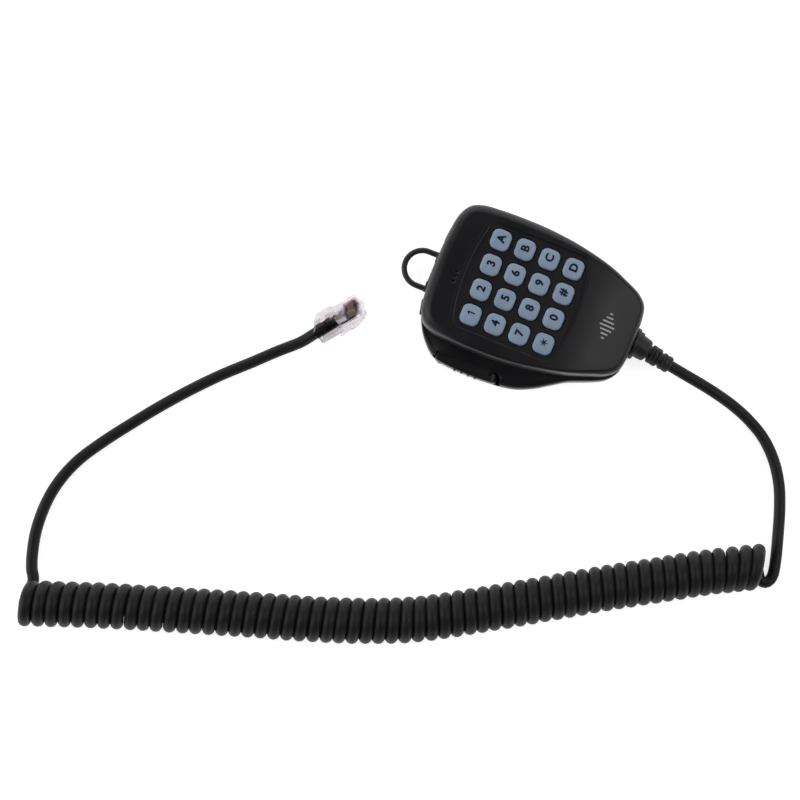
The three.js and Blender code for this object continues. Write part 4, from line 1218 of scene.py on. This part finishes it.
def button_windows(cover):
    """Windows in the ring-end wall for its two buttons, each with a pocket for the flange."""
    for x in TOP_BUTTON_X.values():
        width, height = (side + 2 * GAP for side in TOP_BUTTON_SIZE)
        window = rounded_rectangle(width, height, 0.9, (x, TOP_BUTTON_Z), 5)
        cut(cover, Shape().loft([
            [Vector((p.x, y, p.y)) for p in window] for y in (39, 32)
        ]))
        cut(cover, Shape().box(
            (x - 4.1, TOP_POCKET_Y[0], TOP_BUTTON_Z - 2.8), (x + 4.1, TOP_POCKET_Y[1], TOP_BUTTON_Z + 2.8)))


# ---------------------------------------------------------------- keys

def key_top(dx, dy):
    """Height of a key's crowned top at a distance from its centre."""
    return KEY_TOP_Z + KEY_CROWN * max(0.0, 1 - (dx * dx + dy * dy) / 20.0)


def make_key(index):
    name = f"key_{KEY_NAMES[index]}"
    centre = key_centre(index)
    outline = rounded_rectangle(*KEY_SIZE, KEY_CORNER, centre)
    flange = rounded_rectangle(*KEY_FLANGE, 0.6, centre)
    post = rounded_rectangle(*KEY_POST, 0.5, centre)
    rings = [
        inset(post, 0.3, 22.0), at_height(post, 22.3), at_height(post, 23.9), at_height(flange, 23.9),
        at_height(flange, 24.9), at_height(outline, 24.9), at_height(outline, KEY_TOP_Z - KEY_EDGE_R),
    ]
    rings += [
        inset(outline, KEY_EDGE_R * across, KEY_TOP_Z - KEY_EDGE_R * down)
        for across, down in quarter_turn(6, first=1)
    ]
    edge = rings[-1]
    middle = Vector((*centre, 0))
    for scale in (0.9, 0.75, 0.6, 0.45, 0.3, 0.15):
        ring = [middle + (Vector((p.x, p.y, 0)) - middle) * scale for p in edge]
        rings.append([Vector((p.x, p.y, key_top(p.x - centre[0], p.y - centre[1]))) for p in ring])
    cap = make_object(f"{name}_cap", Shape().loft(rings))
    finish(cap, KEY, name, [name])
    make_print(f"{name}_print", KEY_PRINTS[index], centre, name)


def figure_one():
    """The figure 1, in millimetres about its middle."""
    return flat_points([
        (0.08, -1.56), (0.66, -1.56), (0.66, 1.56), (0.26, 1.56), (-0.62, 0.98), (-0.62, 0.4), (0.08, 0.82),
    ])


def star(radius=1.4, width=0.46):
    """A six-armed star with arms of one width."""
    points = []
    for k in range(6):
        along = Vector((math.sin(TAU * k / 6), math.cos(TAU * k / 6), 0))
        across = Vector((-along.y, along.x, 0)) * (width / 2)
        between = TAU * (k + 0.5) / 6
        points += [along * radius + across, along * radius - across]
        points.append(Vector((math.sin(between), math.cos(between), 0)) * width)
    return points[::-1]


def font_character(name, character):
    """A bold character of the built-in font, as a mesh in millimetres about its middle."""
    data = bpy.data.curves.new(name, "FONT")
    data.body = character
    data.size = 1.0
    data.offset = 0.04
    data.extrude = 0.01
    data.resolution_u = 6
    text = bpy.data.objects.new(name, data)
    bpy.context.scene.collection.objects.link(text)
    graph = bpy.context.evaluated_depsgraph_get()
    mesh = bpy.data.meshes.new_from_object(text.evaluated_get(graph))
    bpy.data.objects.remove(text)
    bpy.data.curves.remove(data)
    xs = [v.co.x for v in mesh.vertices]
    ys = [v.co.y for v in mesh.vertices]
    scale = PRINT_HEIGHT / FONT_CAPITAL
    for vertex in mesh.vertices:
        vertex.co.x = (vertex.co.x - (min(xs) + max(xs)) / 2) * scale
        vertex.co.y = (vertex.co.y - (min(ys) + max(ys)) / 2) * scale
    obj = bpy.data.objects.new(name, mesh)
    bpy.context.scene.collection.objects.link(obj)
    return obj


def make_print(name, character, centre, body):
    """A bold printed character that follows the key's crowned top."""
    drawn = {"1": figure_one, "*": star}
    if character in drawn:
        obj = make_object(name, Shape().prism(drawn[character](), -1, 1), unit=1)
    else:
        obj = font_character(name, character)
    for vertex in obj.data.vertices:
        vertex.co.x += centre[0] + PRINT_SHIFT[0]
        vertex.co.y += centre[1] + PRINT_SHIFT[1]
    drape(obj, lambda x, y: key_top(x - centre[0], y - centre[1]))
    return finish(obj, PRINT, body)


# ---------------------------------------------------------------- talk and ring-end buttons

def talk_button():
    points = curve_chain(TALK_SIDE)
    outline = points[::-1]
    button = make_object("talk_bar", Shape().soft_prism(outline, *TALK_Z, 0.8, 4))
    ribs = Shape()
    for y in TALK_RIB_Y:
        rib = circle(0.55, 20, (TALK_RIB_X, y))
        ribs.soft_prism(rib, TALK_Z[0] + 1.6, TALK_Z[1] - 0.7, 0.25, 3)
    join(button, ribs)
    cut(button, Shape().prism(circle(1.3, 32, TALK_PIVOT), 0, TALK_PIN_TOP + GAP))
    # The top slopes away at the cord end.
    end = [Vector((y, z, 0)) for y, z in bezier_pairs((-1.4, 10.55), (-3.8, 10.3), (-4.3, 7.4), 12)]
    end += [Vector((-5, 7.4, 0)), Vector((-5, 12, 0)), Vector((-1.4, 12, 0))]
    cut(button, Shape().loft([
        [Vector((x, p.x, p.y)) for p in end] for x in (-39, -30)
    ]))
    shade(button, 40)
    return finish(button, BODY, "talk_button", ["talk_button"], weigh=True)


def top_button(name, x):
    """A button in the ring-end wall: a cap that follows the wall, over a wider flange."""
    wall = [p for p in REAR_OUTLINE if abs(p.x - x) < 6 and p.y > 30]

    def proud(px):
        near = min(wall, key=lambda p: abs(p.x - px))
        return near.y + 0.8

    cap = rounded_rectangle(*TOP_BUTTON_SIZE, 0.8, (x, TOP_BUTTON_Z), 6)
    width, height = (side + 1.2 for side in TOP_BUTTON_SIZE)
    flange = rounded_rectangle(width, height, 0.8, (x, TOP_BUTTON_Z), 6)
    low, high = TOP_FLANGE_Y
    levels = (flange, low), (flange, high), (cap, high)
    rings = [[Vector((p.x, y, p.y)) for p in ring] for ring, y in levels]
    for across, down in quarter_turn(4):
        ring = inset(cap, 0.5 * across)
        rings.append([Vector((p.x, proud(p.x) - 0.5 * down, p.y)) for p in ring])
    button = make_object(f"{name}_cap", Shape().loft(rings))
    return finish(button, BODY, f"{name}_button", [f"{name}_button"])


# ---------------------------------------------------------------- hanger ring and pin

def hanger_ring():
    centre_y = RING_PIN_Y + RING_LEG
    line = [Vector((RING_X - RING_RADIUS, RING_PIN_Y + k * RING_LEG / 4, RING_Z)) for k in range(4)]
    for k in range(49):
        angle = math.pi * (1 - k / 48)
        line.append(Vector((
            RING_X + math.cos(angle) * RING_RADIUS, centre_y + math.sin(angle) * RING_RADIUS, RING_Z)))
    line += [Vector((RING_X + RING_RADIUS, RING_PIN_Y + k * RING_LEG / 4, RING_Z)) for k in (3, 2, 1, 0)]
    ring = make_object("hanger_loop", Shape().tube(line, RING_WIRE_R, 20))
    eyes = Shape()
    bores = Shape()
    for side in (-1, 1):
        start = (RING_X + side * RING_RADIUS - RING_WIRE_R, RING_PIN_Y, RING_Z)
        width, eased = 2 * RING_WIRE_R, RING_EYE_R - 0.3
        eyes.turned([(eased, 0), (RING_EYE_R, 0.3), (RING_EYE_R, width - 0.3), (eased, width)],
                    start, (1, 0, 0), 32)
        bores.turned([(RING_PIN_R + 0.15, -0.5), (RING_PIN_R + 0.15, width + 0.5)], start, (1, 0, 0), 24)
    join(ring, eyes)
    cut(ring, bores)
    shade(ring, 40)
    return finish(ring, DARK_STEEL, "hanger_ring", ["hanger_ring"], weigh=True)


def hanger_pin():
    reach = RING_RADIUS + 1.3
    ease, length = 0.15, 2 * reach
    profile = [
        (RING_PIN_R - ease, 0), (RING_PIN_R, ease), (RING_PIN_R, length - ease), (RING_PIN_R - ease, length)]
    start = (RING_X - reach, RING_PIN_Y, RING_Z)
    pin = make_object("hanger_bar", Shape().turned(profile, start, (1, 0, 0), 32))
    return finish(pin, DARK_STEEL, "housing", ["hanger_pin"])


# ---------------------------------------------------------------- strain relief

def strain_relief():
    """A flange and a collar, then two flexible knuckles that are slotted from side to side."""
    outside = Shape().turned([
        (3.6, -0.9), (5.5, -0.9), (5.7, -0.7), (5.7, 1.0), (5.5, 1.2), (5.1, 1.25), (4.98, 1.5), (4.8, 3.6),
        (4.62, 5.1), (4.45, 5.5), (4.1, 5.8), (3.6, 5.95), (3.05, 6.0), (2.9, 6.2), (2.9, 6.85),
        (3.05, 7.0), (3.6, 7.05), (3.86, 7.2), (3.98, 7.5), (4.0, 9.0), (3.95, 10.7), (3.86, 11.05),
        (3.6, 11.25), (3.05, 11.3), (2.88, 11.5), (2.88, 12.2), (3.05, 12.4), (3.3, 12.45),
        (3.5, 12.6), (3.57, 12.9), (3.57, 14.4), (3.5, 16.0), (3.4, 16.4), (3.1, 16.7),
        (2.45, RELIEF_LENGTH),
    ], RELIEF_BASE, RELIEF_DIRECTION, 64)
    relief = make_object("cord_relief", outside)
    inside = Shape().turned([
        (5.4, 0), (5.6, 0.2), (5.6, 1.6), (5.4, 1.8), (3.8, 1.8), (3.8, 4.9), (6.4, 4.9), (6.6, 5.1),
        (6.6, 5.9), (6.2, 6.5),
    ], (RELIEF_X, -44.9, CORD_Z), (0, -1, 0), 64)
    join(relief, inside)
    side = RELIEF_DIRECTION.cross(Vector((0, 0, 1))).normalized()
    upward = side.cross(RELIEF_DIRECTION).normalized()
    turn = Matrix((side, RELIEF_DIRECTION, upward)).transposed()
    # Each knuckle has a window on either flank and a pair of shallow slots above and below.
    for distance, quarter in ((9.1, 0), (14.4, 0), (8.2, 1), (10.0, 1), (13.5, 1), (15.3, 1)):
        for way in (-1, 1):
            if quarter:
                low, high = (-2.1, distance - 0.42, 2.85 * way), (2.1, distance + 0.42, 4.6 * way)
            else:
                low, high = (2.75 * way, distance - 0.75, -1.7), (4.8 * way, distance + 0.75, 1.7)
            low, high = zip(*[sorted(pair) for pair in zip(low, high)])
            cut(relief, Shape().box(low, high).moved(turn, RELIEF_BASE))
    shade(relief, 35)
    return finish(relief, RELIEF, "housing", ["strain_relief"], weigh=True)


# ---------------------------------------------------------------- screws

def cover_screw(index):
    """A pan-head screw with a cross recess, driven from the back."""
    x, y = COVER_SCREWS[index]
    profile = [(1.5, 0), (2.0, 0.12), (2.3, 0.4), (2.4, 0.8), (2.4, 1.2), (1.25, 1.2)]
    turns, pitch = 26, 0.68
    for k in range(turns):
        start = 1.5 + k * pitch
        profile += [(1.0, start), (1.25, start + pitch * 0.5), (1.0, start + pitch * 0.98)]
    profile += [(0.5, 19.0), (0.1, 19.2)]
    screw = make_object(f"cover_screw_{index + 1}_body", Shape().turned(profile, (x, y, 1.4), (0, 0, 1), 32))
    turn = 0.4 + index * 0.9
    for quarter in (0, math.pi / 2):
        blade = [Vector((px * math.cos(turn + quarter) - py * math.sin(turn + quarter) + x,
                         px * math.sin(turn + quarter) + py * math.cos(turn + quarter) + y, 0))
                 for px, py in ((-1.35, -0.28), (1.35, -0.28), (1.35, 0.28), (-1.35, 0.28))]
        cut(screw, Shape().loft([at_height(blade, 1.3), inset(blade, 0.14, 2.2)]))
    shade(screw, 35)
    return finish(screw, SCREW, "housing", [f"cover_screw_{index + 1}"])


# ---------------------------------------------------------------- plug

def plug_piece(name, shape, sharp=35):
    """An object from a shape that is drawn in the plug's own frame."""
    return make_object(name, shape.moved(PLUG_TURN, PLUG_REAR), sharp)


def side_prism(side, half_width, bevel=0.15):
    """A prism across the plug from its side outline, given as X and Z pairs, with eased ends."""
    ring = [Vector((x, z, 0)) for x, z in side]
    area = sum(a.x * b.y - b.x * a.y for a, b in zip(ring, ring[1:] + ring[:1]))
    if area < 0:
        ring.reverse()
    rings = []
    flat = half_width - bevel
    for distance, y in ((bevel, -half_width), (0, -flat), (0, flat), (bevel, half_width)):
        moved = inset(ring, distance) if distance else ring
        rings.append([Vector((p.x, y, p.y)) for p in moved])
    return Shape().loft(rings)


def plug_housing():
    low = -PLUG_HEIGHT / 2
    side = [
        (0, low + 0.3), (9, low + 0.15), (18.6, low), (20.6, low + 0.15), (PLUG_LENGTH, low + 0.6),
        (PLUG_LENGTH, low + 2.4), (20.7, low + 3), (20.7, -low - 0.4), (20.3, -low), (9.6, -low),
        (9, -low + 1.3), (1.8, -low + 1.3), (0, -low + 0.2),
    ]
    housing = plug_piece("plug_shell", side_prism(side, PLUG_WIDTH / 2, 0.3), 20)

    hollows = [
        Shape().box((-1, -CORD_R - 0.5, -CORD_R - 0.35), (10, CORD_R + 0.5, CORD_R + 0.5)),
        Shape().box((9.5, -4.5, -1.3), (18.6, 4.5, 0.3)),
        Shape().box((4.2, -3, 2.6), (6.6, 3, 6)),
    ]
    for y in CONTACT_Y:
        hollows.append(Shape().box((14.4, y - 0.32, -0.8), (22, y + 0.32, 4)))
    cut(housing, *[hollow.moved(PLUG_TURN, PLUG_REAR) for hollow in hollows])
    shade(housing, 20)
    return finish(housing, CLEAR, "housing", ["plug_housing"])


def plug_latch():
    root = -PLUG_HEIGHT / 2
    side = [
        (20.9, root - 0.3), (21.25, root - 0.65), (21.3, root - 1), (21.0, root - 1.3), (19.4, root - 1.9),
        (13.6, root - 3.0), (6.8, root - 3.9), (6.5, root - 3.8), (6.4, root - 3.0), (13.2, root - 1.9),
        (18.4, root - 0.8), (19, root - 0.3),
    ]
    latch = plug_piece("plug_latch_arm", side_prism(side, 1.65, 0.15), 20)
    shoulders = [
        (12.2, root - 2.7), (14.6, root - 3.1), (20.4, root - 1.3), (20.4, root - 0.5),
        (18.2, root - 0.85), (12.4, root - 2.1),
    ]
    join(latch, side_prism(shoulders, 3.0, 0.12).moved(PLUG_TURN, PLUG_REAR))
    shade(latch, 20)
    return finish(latch, CLEAR, "plug_latch", ["plug_latch"])


WIRE_COLORS = {
    "blue": (0.02, 0.03, 0.16), "black": (0.008, 0.008, 0.008), "brown": (0.08, 0.05, 0.035),
    "white": (0.75, 0.74, 0.70), "cream": (0.66, 0.60, 0.50), "grey": (0.45, 0.45, 0.45),
    "ivory": (0.70, 0.66, 0.58), "silver": (0.52, 0.51, 0.50),
}


def plug_wires():
    """Eight wires that fan out of the cord's end to lie side by side under the contacts."""
    pieces = []
    for i, (name, color) in enumerate(WIRE_COLORS.items()):
        y = CONTACT_Y[i]
        angle = TAU * i / 8
        line = smooth_line([
            Vector((8.2, 1.25 * math.cos(angle), 1.25 * math.sin(angle))),
            Vector((10.0, y * 0.7, -0.5 + 0.3 * math.sin(angle))),
            Vector((11.6, y, -0.5)), Vector((18.2, y, -0.5)),
        ], 0.5)
        wire = plug_piece(f"plug_wire_{name}", Shape().tube(line, 0.44, 16))
        sleeve = moulded(f"wire_{name}", color, rough=(0.3, 0.42), grain=(0.2, 0.004), dust=0.0)
        pieces.append(finish(wire, sleeve, "housing"))
    return pieces


def plug_contacts():
    """Eight gold-flashed blades, rounded where they touch a socket's springs."""
    shape = Shape()
    blade = [
        (16.3, -0.3), (16.6, -0.5), (19.0, -0.5), (19.3, -0.3), (19.4, 0.4), (19.4, 1.6),
        (19.25, 1.95), (18.9, 2.15), (16.6, 2.2), (16.2, 1.9), (16.2, 0.4),
    ]
    for y in CONTACT_Y:
        piece = side_prism(blade, 0.15, 0.04)
        start = len(shape.points)
        shape.points += [p + Vector((0, y, 0)) for p in piece.points]
        shape.faces += [tuple(start + k for k in face) for face in piece.faces]
    contacts = plug_piece("plug_blades", shape, 30)
    return finish(contacts, GOLD, "housing", ["plug_contacts"])


# ---------------------------------------------------------------- assembly

view_right, view_up = make_camera()
cord = make_cord()

front_cover()
generic_mark()
rear_cover()
for key_index in range(16):
    make_key(key_index)
talk_button()
for button_name, button_x in TOP_BUTTON_X.items():
    top_button(button_name, button_x)
hanger_ring()
hanger_pin()
strain_relief()
for screw_index in range(4):
    cover_screw(screw_index)
    paint(f"board_screw_{screw_index + 1}", SCREW)
plug_parts = [plug_housing(), plug_latch(), plug_contacts(), *plug_wires()]

for node, material in {
    "keypad_mat": RUBBER, "contact_sheet": FILM, "main_circuit_board": BOARD, "encoder_chip": CHIP,
    "backlight_strip": LAMP, "filter_capacitor": SLEEVE, "cord_connector": NYLON,
    "microphone_capsule": CAN, "capsule_boot": RUBBER, "port_felt": FELT, "talk_pivot_pin": STEEL,
    "talk_switch": SWITCH, "talk_plunger": NYLON, "talk_switch_board": BOARD, "up_switch": SWITCH,
    "down_switch": SWITCH, "top_button_board": BOARD, "cord_tail": CORD, "cord_clamp": STEEL,
    "wire_harness": WIRE,
}.items():
    paint(node, material)

make_studio(view_right, view_up)
